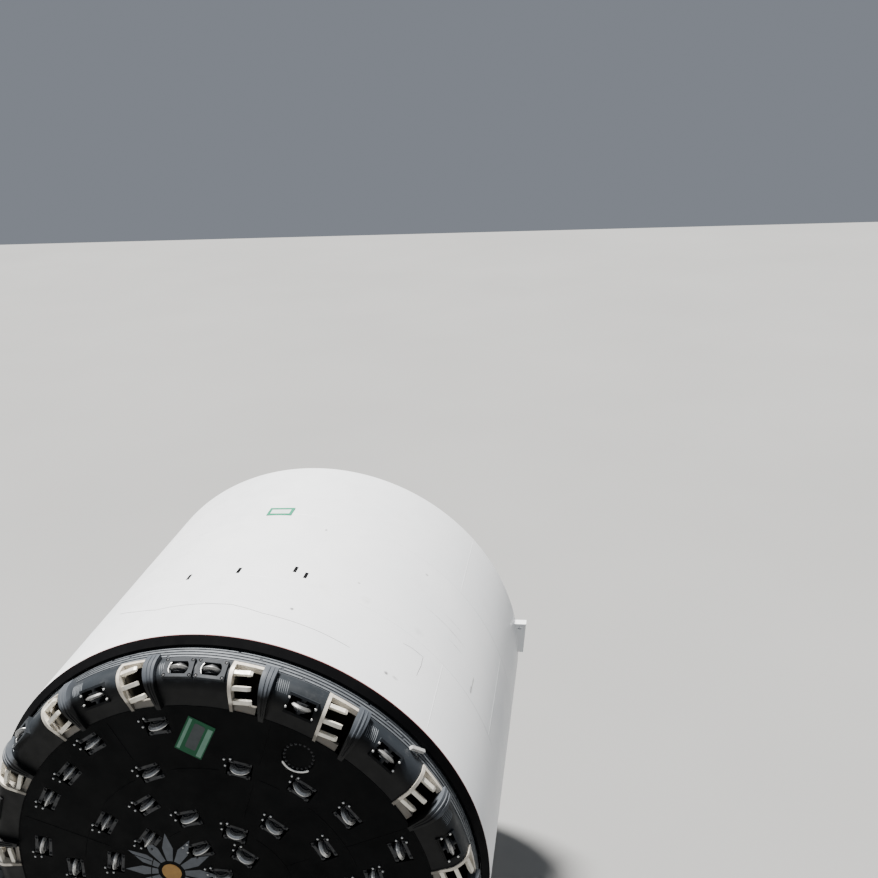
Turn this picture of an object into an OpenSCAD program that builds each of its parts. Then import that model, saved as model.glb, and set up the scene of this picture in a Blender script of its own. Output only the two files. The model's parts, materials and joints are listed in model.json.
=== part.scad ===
// Tunnel boring machine head: the turning cutterhead, its round shield and the launch cradle.
// Lengths are in millimetres. The bore's axis lies along Y and the rock is towards -Y.
// Inside the modules the bore frame is used: z points forwards into the rock, x to the right
// and y up, with z = 0 at the shield's front edge. A clock angle runs clockwise from the top.

/* [Shield] */
// Outside diameter of the shield at its front edge
shield_d = 12240; // [11600:20:12800]
// How much smaller the shield's diameter is at its tail
shield_taper = 60; // [20:5:100]
// Length of the shield from the front edge to the tail
shield_len = 9420; // [9200:20:10000]
// Skin of the front and middle shield
skin_t = 80; // [60:5:100]
// Skin of the tail shield
tail_skin_t = 60; // [40:5:70]
// Length of the front shield
front_len = 2700; // [2400:50:2900]
// Length of the middle shield
middle_len = 3500; // [3300:50:3700]
// How far the black cutting edge stands ahead of the white skin
edge_len = 140; // [100:10:160]
// Radial step from the shield's skin down to the front of the cutting edge
edge_step = 160; // [120:10:180]

/* [Cutterhead] */
// Diameter of the cutterhead's rim
rim_d = 11740; // [11640:10:11760]
// How far the face plate stands ahead of the shield's front edge
face_z = 1100; // [1080:10:1200]
// Radius of the rounded shoulder between rim and face
shoulder_r = 420; // [400:5:430]
// Thickness of the shoulder castings
shoulder_t = 110; // [80:5:130]
// Radius of the flat face plate inside the castings
plate_r = 5040; // [5020:5:5060]
// Thickness of the face plate
face_t = 140; // [100:5:150]
// Back of the rim behind the shield's front edge
rim_back = 100; // [60:5:140]

/* [Buckets] */
// Angle that one bucket mouth takes round the rim, degrees
mouth_deg = 6.2; // [6:0.1:6.6]
// Width of the steel lip bars, degrees
lip_deg = 0.8; // [0.6:0.1:1]
// How far the lips stand proud of the shoulder
lip_proud = 30; // [10:5:50]
// Length of a bucket tooth
tooth_len = 420; // [300:10:450]
// Width of a bucket tooth
tooth_w = 90; // [70:5:110]
// Angle that one guard casting takes at the rim, degrees
guard_deg = 2.6; // [2.2:0.2:3.6]
// How far the guard castings stand proud
guard_proud = 120; // [80:5:140]
// How far each lip's plane passes beside the bore's axis
lip_lean = 760; // [600:20:900]
// How far each guard's leading side passes beside the bore's axis
guard_lean = 1020; // [900:20:1100]
// How far each guard's trailing side passes beside the bore's axis
trail_lean = 200; // [100:20:400]

/* [Disc cutters] */
// Outside diameter of a disc ring
disc_d = 483; // [440:1:500]
// How far a disc stands ahead of its housing
disc_proud = 150; // [110:5:170]
// Width of the window in the face plate, along the radius
window_w = 430; // [400:5:470]
// Length of the window in the face plate, along the turn
window_len = 580; // [550:5:620]

/* [Drive] */
// Inside radius of the main drive
drive_bore_r = 1500; // [1400:10:1600]
// Outside radius of the main drive
drive_r = 2900; // [2800:10:3000]
// Length of the main drive
drive_len = 1500; // [1300:20:1700]
// Number of drive motors
motor_count = 12; // [8:1:14]
// Diameter of a drive motor
motor_d = 620; // [500:10:660]
// Length of a drive motor
motor_len = 1250; // [1000:10:1300]

/* [Thrust cylinders] */
// Outside diameter of a thrust cylinder
barrel_d = 340; // [300:5:360]
// Diameter of a thrust rod
rod_d = 240; // [200:5:260]
// Length of the thrust barrels
barrel_len = 2900; // [2700:20:3000]
// Stroke of the thrust cylinders
thrust_stroke = 2300; // [1800:50:2300]
// Thickness of a thrust shoe
shoe_t = 120; // [80:5:150]

/* [Segment erector] */
// Radius of the erector's fixed ring
stator_r = 2150; // [2100:10:2250]
// Width of the erector's rings along the bore
ring_w = 400; // [300:10:450]
// Travel of the erector along the bore
erector_travel = 1500; // [1000:50:1500]
// Reach of the erector's arms
erector_reach = 1100; // [800:50:1150]
// Sideways distance of each telescope from the middle
arm_x = 900; // [800:10:1000]

/* [Conveyor] */
// Width of the belt
belt_w = 1000; // [900:10:1100]
// Thickness of the belt
belt_t = 20; // [12:1:30]
// Height of the conveyor between the runs of its belt
pulley_d = 360; // [320:10:400]

/* [Cradle] */
// Height of the shield's lowest line above the ground
ground_gap = 430; // [380:10:600]
// Angle of each cradle rail from the bottom
rail_deg = 24; // [20:1:28]
// Number of cross frames in the cradle
cradle_frames_n = 7; // [5:1:9]

/* [Hidden] */
$fn = 96;
// Running and seating clearance between neighbours
gap = 0.3;
// How far two fused shapes of one solid reach into each other
fuse = 1;

shield_r = shield_d / 2;
rim_r = rim_d / 2;
axis_h = shield_r + ground_gap;
tip_z = face_z + disc_proud;
mid_y = (tip_z - shield_len) / 2;

arc_r = rim_r - shoulder_r;
arc_z = face_z - shoulder_r;
rim_front = 520;
back_t = 80;
drum_r = 2400;
drum_t = 100;

// Bucket mouths: clock angle of each lip's inner side at the rim
bucket_clocks = [-63, -39.2, -16.8, 9, 30.3, 56, 79, 103.5, 127.5, 151.5, 175.5, 199.5, 223.5,
    247.5, 271.5];

// Face cutters: [radius, clock angle]
face_cutters = [
    [4550, -11.5], [3510, 13.7], [3420, -21.8], [4640, -33.2], [3690, 36.6], [3910, 54.2],
    [2710, -34.2], [2020, -15.8], [4440, -47.5], [4510, -60.3], [2040, -53], [3090, -57.9],
    [2630, -79.2], [4430, -79.4], [3650, -86.6], [4700, -97], [2870, 62.5], [1670, 17.4],
    [2340, 37.9], [4520, 71.6], [3690, 81.1], [2980, 86], [4740, 97], [4200, 112], [3420, 106],
    [2400, 112], [1770, 88.9], [4740, 124], [4060, 137], [3180, 132], [4600, 152], [3700, 160],
    [2760, 156], [2060, 153], [4740, 174], [4150, 186], [3340, 180], [2500, 188], [4700, 200],
    [3700, 206], [2960, 212], [2150, 218], [4740, 224], [4150, 236], [3350, 240], [4700, 248],
    [3740, 256], [2400, 256]
];

// Gauge cutters on the shoulder: [clock angle, tilt on the arc, rise of the frame]
gauge_cutters = [
    [-2.9, 25, 40], [4.3, 25, 40], [25.1, 63, 0], [46.5, 52, 0], [-23.9, 68, 0], [-48.5, 25, 40],
    [73.4, 63, 0], [97.5, 55, 0], [121.5, 25, 40], [145.5, 40, 0], [169.5, 60, 0], [193.5, 25, 40],
    [217.5, 45, 0], [241.5, 60, 0], [265.5, 25, 40], [289.5, 50, 0]
];

// Centre cutters in the middle of the face: [radius, clock angle]
centre_cutters = [[300, 0], [1120, -21], [1120, 35], [920, 100], [920, 180], [1120, 262], [1500, 140]];

// Wear strips on the rim: distance of each from the shield's front edge
strip_zs = [170, 270, 370, 470];

// Ports in the skin: [distance behind the front edge, clock angle]
skin_ports = [[2850, -14.5], [2930, -2.1], [3240, 10.7], [3070, 13.6]];

group_clocks = [0, 90, 180, 270];

module in_bore() translate([0, mid_y, axis_h]) rotate([90, 0, 0]) children();
module at(clock, r = 0, z = 0) rotate([0, 0, 90 - clock]) translate([r, 0, z]) children();

// A sector of a body of revolution that starts at a clock angle and runs clockwise
module sweep(clock, deg) rotate([0, 0, 90 - clock - deg]) rotate_extrude(angle = deg, $fn = 720) children();

// A ring about the bore's axis from z0 forwards to z1
module ring(r_out, r_in, z0, z1)
    translate([0, 0, z0]) difference() {
        cylinder(h = z1 - z0, r = r_out, $fn = 180);
        translate([0, 0, -1]) cylinder(h = z1 - z0 + 2, r = r_in, $fn = 180);
    }

// The shoulder's outline from the rim to the flat face, as a band between two offsets
module shoulder_band(out, inner) {
    intersection() {
        translate([arc_r, arc_z]) difference() {
            circle(r = shoulder_r + out);
            circle(r = shoulder_r - inner);
        }
        translate([arc_r, arc_z]) square(2 * shoulder_r);
    }
    translate([rim_r - inner, rim_front]) square([inner + out, arc_z - rim_front]);
    translate([plate_r, face_z - inner]) square([arc_r - plate_r, inner + out]);
}

// The whole shoulder as a body of revolution
module shoulder_ring(out, inner) rotate_extrude($fn = 360) shoulder_band(out, inner);

// Clock angle at a radius of a line that passes beside the axis and meets the rim at a clock angle
function leaning(clock, lean, r) = clock + asin(lean / r) - asin(lean / rim_r);
function clock_point(clock, r) = [r * sin(clock), r * cos(clock)];

// What lies between two such lines, as one thick wedge
module wedge(clock_a, lean_a, clock_b, lean_b) translate([0, 0, -wedge_h]) linear_extrude(3 * wedge_h)
    polygon([clock_point(leaning(clock_a, lean_a, wedge_in), wedge_in),
        clock_point(leaning(clock_a, lean_a, wedge_out), wedge_out),
        clock_point(leaning(clock_b, lean_b, wedge_out), wedge_out),
        clock_point(leaning(clock_b, lean_b, wedge_in), wedge_in)]);
wedge_h = 2000;
wedge_in = plate_r - 440;
wedge_out = rim_r + 730;

// Skin radius at a distance behind the front edge
function skin_r(y) = shield_r - shield_taper / 2 * y / shield_len;

module skin(y0, y1, t)
    rotate_extrude($fn = 180)
        polygon([[skin_r(y0), -y0], [skin_r(y1), -y1], [skin_r(y1) - t, -y1], [skin_r(y0) - t, -y0]]);

module face_plate() color("#15171a") in_bore() difference() {
    translate([0, 0, face_z - face_t]) cylinder(h = face_t, r = plate_r - gap, $fn = 180);
    for (c = face_cutters) at(c[1], c[0], face_z) window();
    for (c = centre_cutters) at(c[1], c[0], face_z) window();
    for (c = manhole_clocks) at(c, manhole_r, face_z - manhole_depth)
        cylinder(h = manhole_depth + 1, d = manhole_d);
}

manhole_d = 760;
manhole_r = 4430;
manhole_clocks = [30, 214.5];
manhole_depth = 90;

module window() translate([-window_w / 2, -window_len / 2, -face_t - 1])
    cube([window_w, window_len, face_t + 2]);

// Outside castings between one bucket's guard and the next bucket's lip, cut for the gauge boxes
module shoulder_castings() color("#3a4048") in_bore() difference() {
    intersection() {
        shoulder_ring(0, shoulder_t);
        for (i = [0 : len(bucket_clocks) - 1]) {
            next = i + 1 < len(bucket_clocks) ? bucket_clocks[i + 1] : bucket_clocks[0] + 360;
            wedge(bucket_clocks[i] + mouth_deg + guard_deg, trail_lean, next - lip_deg, lip_lean);
        }
    }
    for (g = gauge_cutters) gauge_place(g)
        translate([-gauge_w / 2 - gap, -gauge_len / 2 - gap, -gauge_depth])
            cube([gauge_w + 2 * gap, gauge_len + 2 * gap, 2 * gauge_depth]);
}

gauge_w = 450;
gauge_len = 670;
gauge_depth = 375;
gauge_floor = 25;

// Puts z along the arc's outward normal and x along the disc's axle
module gauge_place(g) at(g[0], arc_r, arc_z) rotate([0, 90 - g[1], 0]) translate([0, 0, shoulder_r])
    children();

module rim_ring() color("#2b3036") in_bore()
    ring(rim_r, rim_r - shoulder_t, -rim_back, rim_front - gap);

strip_w = 46;
strip_h = 16;
strip_count = 12;

// Hard-faced strips in three sectors' worth of short lengths round the rim
module wear_strips() color("#8a8f94") in_bore()
    for (z = strip_zs, i = [0 : strip_count - 1])
        sweep(i * 360 / strip_count + z / 20, 360 / strip_count - 0.6)
            translate([rim_r + gap, z - strip_w / 2]) square([strip_h, strip_w]);

lug_clocks = [52.2, 172.2, 292.2];
lug_len = 430;
lug_w = 75;
lug_rise = 110;
lug_z = 380;
lug_slant = 33;

// Slanted scraper lugs that keep the gap behind the rim clear
module rim_lugs() color("#c9c9c4") in_bore() difference() {
    for (c = lug_clocks) at(c, rim_r, lug_z) rotate([lug_slant, 0, 0])
        translate([-lug_rise / 2, -lug_len / 2, -lug_w / 2]) cube([3 * lug_rise / 2, lug_len, lug_w]);
    translate([0, 0, -rim_back]) cylinder(h = 2 * face_z, r = rim_r + strip_h + 2 * gap, $fn = 360);
}

sill_w = 155;
sill_in = 8;
sill_drop_in = 12;
sill_drop_out = 62;
sill_foot = 10;
bar_step = 4;
sill_deg = 0.85 * mouth_deg + lip_deg / 2;
sill_len = (plate_r + sill_w / 2) * sill_deg * PI / 180;
lip_depth = 160;
rim_bar_h = 90;

// One bare steel lip: a plate over the shoulder, a bar along the rim and a sloping sill
module bucket_lips() color("#d8d3c4") in_bore() for (c = bucket_clocks) union() {
    intersection() {
        shoulder_ring(lip_proud, lip_depth);
        wedge(c - lip_deg + gap / 60, lip_lean, c, lip_lean);
    }
    intersection() {
        rotate_extrude($fn = 720) translate([rim_r - shoulder_t, rim_front + bar_step])
            square([shoulder_t + lip_proud - bar_step, rim_bar_h]);
        wedge(c - lip_deg / 2, lip_lean, c + mouth_deg - gap / 60, guard_lean);
    }
    at(leaning(c, lip_lean, plate_r) - lip_deg / 2 + sill_deg / 2) translate([plate_r, sill_len / 2, face_z])
        rotate([90, 0, 0]) linear_extrude(sill_len)
            polygon([[sill_in, -sill_drop_in], [sill_w, -sill_drop_out], [sill_w, sill_foot - face_t],
                [sill_in, sill_foot - face_t]]);
}

// Teeth that point across the mouth: [radius, height, tilt]
tooth_seats = [for (t = [20, 70]) [arc_r + shoulder_r * cos(t), arc_z + shoulder_r * sin(t), t],
    [plate_r + 215, face_z, 90]];
tooth_t = 90;
tooth_tip = 40;
tooth_taper = 60;

module tooth() translate([-tooth_w / 2, -gap, 0]) rotate([90, 0, 90])
    linear_extrude(tooth_w)
        polygon([[0, -tooth_t], [0, 0], [-tooth_len + tooth_taper, 0],
            [-tooth_len, -tooth_t / 2 + tooth_tip / 2], [-tooth_len, -tooth_t / 2 - tooth_tip / 2],
            [-tooth_len + tooth_taper, -tooth_t]]);

module bucket_teeth() color("#e4e0d2") in_bore()
    for (c = bucket_clocks, t = tooth_seats) at(c - asin(lip_lean / rim_r))
        translate([sqrt(pow(t[0], 2) - pow(lip_lean, 2)), -lip_lean, t[1]]) rotate([0, 90 - t[2], 0])
            tooth();

// Smooth castings that turn rock into the mouth, thick over the shoulder and narrow on the face
module bucket_guards() color("#4a5058") in_bore() intersection() {
    shoulder_ring(guard_proud, lip_depth);
    for (c = bucket_clocks)
        wedge(c + mouth_deg, guard_lean, c + mouth_deg + guard_deg - gap / 60, trail_lean);
}

ring_bore = 150;
// Half width of a cutter ring at its bore, outside its shoulder, under its edge and at its edge
ring_half = [45, 42, 17, 8];
ring_shoulder_r = 190;
ring_edge_h = 12;

// A cutter ring with its worn, rounded edge
module disc_ring() rotate_extrude()
    polygon([[ring_bore + gap, -ring_half[0]], [ring_shoulder_r, -ring_half[1]],
        [disc_d / 2 - ring_edge_h, -ring_half[2]], [disc_d / 2, -ring_half[3]], [disc_d / 2, ring_half[3]],
        [disc_d / 2 - ring_edge_h, ring_half[2]], [ring_shoulder_r, ring_half[1]],
        [ring_bore + gap, ring_half[0]]]);

hub_w = 190;
cap_r = 105;
cap_w = 250;
shaft_r = 62;
// What the shaft's ends keep from the window's walls
shaft_end = 25;

// A hub with its bearing caps and the ends of its shaft
module disc_hub() {
    cylinder(h = hub_w, r = ring_bore, center = true);
    cylinder(h = cap_w, r = cap_r, center = true);
    cylinder(h = window_w - 2 * shaft_end, r = shaft_r, center = true);
}

saddle_w = 80;
saddle_len = 520;
saddle_low = 150;
saddle_top = 82;

module saddle() difference() {
    translate([window_w / 2 - saddle_w, -saddle_len / 2, -saddle_low])
        cube([saddle_w - gap, saddle_len, saddle_low + saddle_top]);
    rotate([0, 90, 0]) cylinder(h = window_w / 2 - shaft_end + gap, r = shaft_r + gap);
}

disc_z = disc_d / 2 - disc_proud;

// Places a disc's middle behind the face, its axle along the radius
module at_window(c) at(c[1], c[0], face_z - disc_z) children();

module disc_rings() color("#b9b7b0") in_bore()
    for (c = concat(face_cutters, centre_cutters)) at_window(c) rotate([0, 90, 0]) disc_ring();

module disc_hubs() color("#2a2c2f") in_bore()
    for (c = concat(face_cutters, centre_cutters)) at_window(c) rotate([0, 90, 0]) disc_hub();

module cutter_saddles() color("#1d2023") in_bore()
    for (c = concat(face_cutters, centre_cutters), side = [0, 180])
        at_window(c) rotate([0, 0, side]) saddle();

box_wall = 20;
box_depth = 330;

// Boxes welded behind the windows
module cutter_boxes() color("#17191c") in_bore()
    for (c = concat(face_cutters, centre_cutters)) at(c[1], c[0], face_z - face_t - gap - box_depth)
        difference() {
            translate([-window_w / 2 - box_wall, -window_len / 2 - box_wall, 0])
                cube([window_w + 2 * box_wall, window_len + 2 * box_wall, box_depth]);
            translate([-window_w / 2, -window_len / 2, box_wall])
                cube([window_w, window_len, box_depth]);
        }

gauge_proud = 150;
gauge_disc_z = gauge_proud - disc_d / 2;
pocket_w = 340;
pocket_len = 570;
lid_t = 50;
mouth_w = 300;
mouth_len = 460;
corner_bolt_d = 84;
corner_bolt_depth = 30;

// Box castings let into the shoulder, open to the rock. Those with a raised frame have a lid with
// a round-ended opening and a recess for a bolt at each corner.
module gauge_housings() color("#5a6068") in_bore()
    for (g = gauge_cutters) gauge_place(g) difference() {
        translate([-gauge_w / 2, -gauge_len / 2, -gauge_depth])
            cube([gauge_w, gauge_len, gauge_depth + g[2]]);
        translate([-pocket_w / 2, -pocket_len / 2, gauge_floor - gauge_depth])
            cube([pocket_w, pocket_len, gauge_depth - gauge_floor + (g[2] > 0 ? g[2] - lid_t : lid_t)]);
        intersection() {
            translate([-mouth_w / 2, -mouth_len / 2, -lid_t]) cube([mouth_w, mouth_len, 3 * lid_t]);
            translate([0, 0, -2 * lid_t]) cylinder(h = 5 * lid_t, d = mouth_len);
        }
        if (g[2] > 0) for (x = [-1, 1], y = [-1, 1])
            translate([x * (gauge_w - 80) / 2, y * (gauge_len - 90) / 2, g[2] - corner_bolt_depth])
                cylinder(h = 2 * corner_bolt_depth, d = corner_bolt_d);
    }

module gauge_rings() color("#c4c1b8") in_bore()
    for (g = gauge_cutters) gauge_place(g) translate([0, 0, gauge_disc_z])
        rotate([0, 90, 0]) disc_ring();

module gauge_hubs() color("#2a2c2f") in_bore()
    for (g = gauge_cutters) gauge_place(g) translate([0, 0, gauge_disc_z]) rotate([0, 90, 0]) {
        cylinder(h = hub_w, r = ring_bore, center = true);
        cylinder(h = pocket_w - 2 * gap, r = shaft_r, center = true);
    }

cover_t = 50;

module manhole_covers() color("#202327") in_bore()
    for (c = manhole_clocks) at(c, manhole_r, face_z - manhole_depth)
        cylinder(h = cover_t, d = manhole_d - 2);

sign_w = 650;
sign_h = 970;
sign_t = 8;
sign_turn = -28;
sign_place = [-80, 4205, face_z + gap];

module face_sign() color("#2f8f6a") in_bore()
    translate(sign_place) rotate([0, 0, sign_turn])
        translate([-sign_w / 2, -sign_h / 2, 0]) cube([sign_w, sign_h, sign_t]);

web_t = 60;
web_clear = 5;
web_top = face_z - face_t - 2 * gap - box_depth - web_clear;
web_r = shoulder_r - lip_depth - web_clear;
web_foot = back_t - rim_back + gap;

// Radial walls behind the lips that lift the rock to the middle
module muck_webs() color("#22262b") in_bore()
    for (c = bucket_clocks) at(c) translate([0, web_t / 2, 0]) rotate([90, 0, 0])
        linear_extrude(web_t) polygon(concat([[drum_r + gap, web_foot], [drum_r + gap, web_top],
            [plate_r + 30, web_top], [plate_r + 30, arc_z + web_r]],
            [for (a = [90 : -15 : 0]) [arc_r + web_r * cos(a), arc_z + web_r * sin(a)]],
            [[arc_r + web_r, web_foot]]));

module back_plate() color("#22262b") in_bore()
    ring(rim_r - shoulder_t - gap, drum_r, -rim_back, back_t - rim_back);

drum_window_w = 560;
drum_window_z0 = 40;
drum_window_head = 60;
drum_window_h = web_top - drum_window_z0 - drum_window_head;

// Hollow drum between the face and the drive flange, open to the muck channels
module centre_drum() color("#22262b") in_bore() difference() {
    ring(drum_r - gap, drum_r - drum_t, -rim_back, web_top);
    for (c = bucket_clocks) at(c + 180 / len(bucket_clocks), drum_r - drum_t / 2, drum_window_z0)
        translate([-drum_t, -drum_window_w / 2, 0]) cube([2 * drum_t, drum_window_w, drum_window_h]);
}

flange_back = 420;
flange_t = 90;
flange_step = 60;
flange_wide = 200;

// Flange that bolts the drum to the main bearing's turning ring
module drive_flange() color("#4d5359") in_bore() union() {
    ring(drive_r - flange_step, drum_r - drum_t, -rim_back - flange_t, -rim_back - gap);
    ring(drum_r + flange_wide, drum_r - drum_t, -flange_back, -rim_back - flange_t + fuse);
}

edge_wall = 25;
edge_root = 300;

module cutting_edge() color("#0f1011") in_bore() rotate_extrude($fn = 180)
    polygon([[shield_r - gap, gap], [shield_r - edge_step, edge_len],
        [shield_r - edge_step - edge_wall, edge_len], [shield_r - edge_step - edge_wall, -edge_root],
        [skin_r(edge_root) - skin_t - gap, -edge_root], [skin_r(edge_root) - skin_t - gap, gap]]);

module front_skin() color("#eceeef") in_bore() skin(0, front_len - gap / 2, skin_t);

port_w = 90;
port_len = 280;
port_depth = 30;

module port_cuts() for (p = skin_ports)
    at(p[1], skin_r(p[0]) - port_depth, -p[0]) translate([0, -port_w / 2, -port_len / 2])
        cube([port_w, port_w, port_len]);

module middle_skin() color("#eceeef") in_bore() difference() {
    skin(front_len + gap / 2, front_len + middle_len - gap / 2, skin_t);
    port_cuts();
}

module tail_skin() color("#eceeef") in_bore()
    skin(front_len + middle_len + gap / 2, shield_len, tail_skin_t);

brush_rows = [300, 620, 940];
brush_h = 60;
brush_len = 130;
brush_sweep = 40;

// Rows of wire brush that seal the tail against the lining
module tail_brushes() color("#7a6f5c") in_bore() rotate_extrude($fn = 180)
    for (b = brush_rows) {
        y = shield_len - b;
        r = skin_r(y) - tail_skin_t - gap;
        r_end = skin_r(y + brush_len) - tail_skin_t - gap;
        polygon([[r, -y], [r_end, -y - brush_len], [r - brush_h, -y - brush_len - brush_sweep],
            [r - brush_h, -y - brush_len + brush_sweep / 2]]);
    }

// The board on the crown: [distance behind the front edge, clock angle] of its middle
board_place = [6310, -1.6];
board_w = 720;
board_len = 460;

module shield_sign() color("#3a9b76") in_bore()
    at(board_place[1], skin_r(board_place[0]) + 1, -board_place[0])
        translate([0, -board_w / 2, -board_len / 2]) cube([sign_t, board_w, board_len]);

bracket_back = 320;
bracket_y = shield_len - bracket_back;
bracket_len = 250;
bracket_top = 980;
bracket_low = -45;
// How far the bracket reaches sideways from the bore's axis, at its top and at its foot
bracket_out_top = shield_r + 260;
bracket_out_low = shield_r + 145;
bracket_bore_d = 110;
bracket_in = skin_r(bracket_y) * 0.97;
// Place of the bore that takes the lifting pin: [sideways, up]
bracket_bore = [shield_r + 50, 835];

// Tapered plates at the sides of the tail that take the lifting pins
module lifting_brackets() color("#e6e8ea") in_bore() difference() {
    for (s = [-1, 1]) translate([0, 0, -bracket_y - bracket_len]) linear_extrude(bracket_len) difference() {
        polygon([[s * bracket_in, bracket_top], [s * bracket_out_top, bracket_top],
            [s * bracket_out_low, bracket_low], [s * bracket_in, bracket_low]]);
        translate([s * bracket_bore[0], bracket_bore[1]]) circle(d = bracket_bore_d);
    }
    rotate_extrude($fn = 180) polygon([[0, 0], [skin_r(0) + gap, 0],
        [skin_r(shield_len) + gap, -shield_len], [0, -shield_len]]);
}

bulkhead_z = -flange_back - 40;
bulkhead_t = 90;
bulkhead_clear = 12;
man_door_d = 800;
man_door_in = 1670;
man_door_r = shield_r - man_door_in;
man_door_clocks = [55, 305];

// Wall between the cutterhead's chamber and the drive, with two man doors
module bulkhead() color("#d5d8da") in_bore() difference() {
    ring(shield_r - skin_t - bulkhead_clear, drive_r + gap, bulkhead_z - bulkhead_t, bulkhead_z);
    for (c = man_door_clocks) at(c, man_door_r, bulkhead_z - bulkhead_t - fuse)
        cylinder(h = bulkhead_t + 2 * fuse, d = man_door_d);
}

// Main bearing and gear case, closed, as one heavy ring
module main_drive() color("#8e9498") in_bore()
    ring(drive_r, drive_bore_r, -flange_back - gap - drive_len, -flange_back - gap);

motor_r = (drive_bore_r + drive_r) / 2;
drive_back = -flange_back - gap - drive_len;
motor_foot_t = 180;
motor_foot_step = 60;
motor_cap_t = 90;
motor_cap_step = 90;

module drive_motors() color("#2f5f8f") in_bore()
    for (i = [0 : motor_count - 1]) at(i * 360 / motor_count, motor_r, drive_back - gap) {
        translate([0, 0, -motor_foot_t]) cylinder(h = motor_foot_t, d = motor_d + motor_foot_step);
        translate([0, 0, -motor_len]) cylinder(h = motor_len - motor_foot_t + fuse, d = motor_d);
        translate([0, 0, -motor_len - motor_cap_t])
            cylinder(h = motor_cap_t + fuse, d = motor_d - motor_cap_step);
    }

frame_z = -3700;
frame_t = 300;
rear_frame_z = -5700;
rear_frame_t = 200;
frame_h = 770;
frame_in_r = shield_r - frame_h;
deck_t = 60;
low_deck_y = -2700;
top_deck_y = 2660;
deck_beam_h = 140;
post_w = 300;
beam_h = 500;
beam_x = 1250;
thrust_r = shield_r - 330;
pair_half_deg = 6;
conveyor_beam_y = -450;
conveyor_beam_h = 250;

function pair_clocks(g) = [g - 30, g, g + 30];

module barrel_places() for (g = group_clocks, p = pair_clocks(g), s = [-1, 1])
    at(p + s * pair_half_deg, thrust_r) children();

ring_zs = [[frame_z, frame_t], [rear_frame_z, rear_frame_t]];
cross_ys = [low_deck_y - deck_t - deck_beam_h, top_deck_y - deck_t - deck_beam_h];

// Stiffening rings inside the skin that carry the thrust cylinders
module frame_rings() color("#c9cdd0") in_bore() difference() {
    for (f = ring_zs) ring(skin_r(-f[0]) - skin_t - gap, frame_in_r, f[0], f[0] + f[1]);
    barrel_places() translate([0, 0, 2 * frame_z]) cylinder(h = -2 * frame_z, d = barrel_d + 2 * gap);
}

// Beams under the floors, from wall to wall of each ring
module cross_beams() color("#c9cdd0") in_bore() intersection() {
    for (f = ring_zs, y = cross_ys) translate([-frame_in_r, y, f[0]])
        cube([2 * frame_in_r, deck_beam_h, f[1]]);
    translate([0, 0, 2 * frame_z]) cylinder(h = -2 * frame_z, r = frame_in_r - gap, $fn = 180);
}

// Posts between ring, cross beams and ring, with the beam that the conveyor stands on
module frame_posts() color("#b9bec2") in_bore() intersection() {
    union() {
        for (s = [-1, 1], span = [[-frame_in_r, cross_ys[0]],
            [cross_ys[0] + deck_beam_h, cross_ys[1]], [cross_ys[1] + deck_beam_h, frame_in_r]])
            translate([s * beam_x - post_w / 2, span[0] + gap, frame_z])
                cube([post_w, span[1] - span[0] - 2 * gap, frame_t]);
        translate([-beam_x, conveyor_beam_y - conveyor_beam_h, frame_z])
            cube([2 * beam_x, conveyor_beam_h, frame_t]);
    }
    translate([0, 0, 2 * frame_z]) cylinder(h = -2 * frame_z, r = frame_in_r - gap, $fn = 180);
}

barrel_z = -3100;
// Guided length of a rod that stays in its barrel at full stroke
rod_guide = 300;
rod_bore_len = thrust_stroke + rod_guide;
rod_out = 150;
rod_back = 50;
rod_end_z = barrel_z - barrel_len - rod_out;

module thrust_barrels() color("#d9a821") in_bore() barrel_places() difference() {
    translate([0, 0, barrel_z - barrel_len]) cylinder(h = barrel_len, d = barrel_d);
    translate([0, 0, barrel_z - barrel_len - fuse])
        cylinder(h = rod_bore_len + fuse, d = rod_d + 2 * gap);
}

module thrust_rods(g) color("#d7d9db") in_bore() for (p = pair_clocks(g), s = [-1, 1])
    at(p + s * pair_half_deg, thrust_r, rod_end_z)
        cylinder(h = rod_bore_len + rod_out - rod_back, d = rod_d);

shoe_half = 170;
shoe_in_r = thrust_r - shoe_half;
shoe_out_r = thrust_r + shoe_half;
shoe_deg = 26;

module thrust_shoes(g) color("#b8402c") in_bore() for (p = pair_clocks(g))
    sweep(p - shoe_deg / 2, shoe_deg)
        translate([shoe_in_r, rod_end_z - gap - shoe_t])
            square([shoe_out_r - shoe_in_r, shoe_t]);

module thrust_rods_top() thrust_rods(0);
module thrust_shoes_top() thrust_shoes(0);
module thrust_rods_right() thrust_rods(90);
module thrust_shoes_right() thrust_shoes(90);
module thrust_rods_bottom() thrust_rods(180);
module thrust_shoes_bottom() thrust_shoes(180);
module thrust_rods_left() thrust_rods(270);
module thrust_shoes_left() thrust_shoes(270);

deck_in = 1250;
deck_half = frame_in_r - deck_in;

// Steel floors between the two frame rings
module work_decks() color("#8b8f86") in_bore() for (y = [low_deck_y, top_deck_y])
    translate([-deck_half, y - deck_t + gap, rear_frame_z])
        cube([2 * deck_half, deck_t - gap, frame_z - gap - rear_frame_z]);

rail_d = 48;
rail_h = 1100;
rail_posts = 6;
rail_in = 500;
rail_half = deck_half - rail_in;

// Handrails along the rear edge of each floor
module deck_rails() color("#e0b020") in_bore() for (y = [low_deck_y, top_deck_y])
    translate([0, y + 2 * gap, rear_frame_z + 100]) union() {
        for (i = [0 : rail_posts]) translate([(2 * i / rail_posts - 1) * rail_half, 0, 0])
            rotate([-90, 0, 0]) cylinder(h = rail_h, d = rail_d, $fn = 24);
        for (h = [rail_h / 2, rail_h]) translate([-rail_half, h - rail_d / 2, 0])
            rotate([0, 90, 0]) cylinder(h = 2 * rail_half, d = rail_d - 6, $fn = 24);
    }

carriage_z = -6300;
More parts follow.
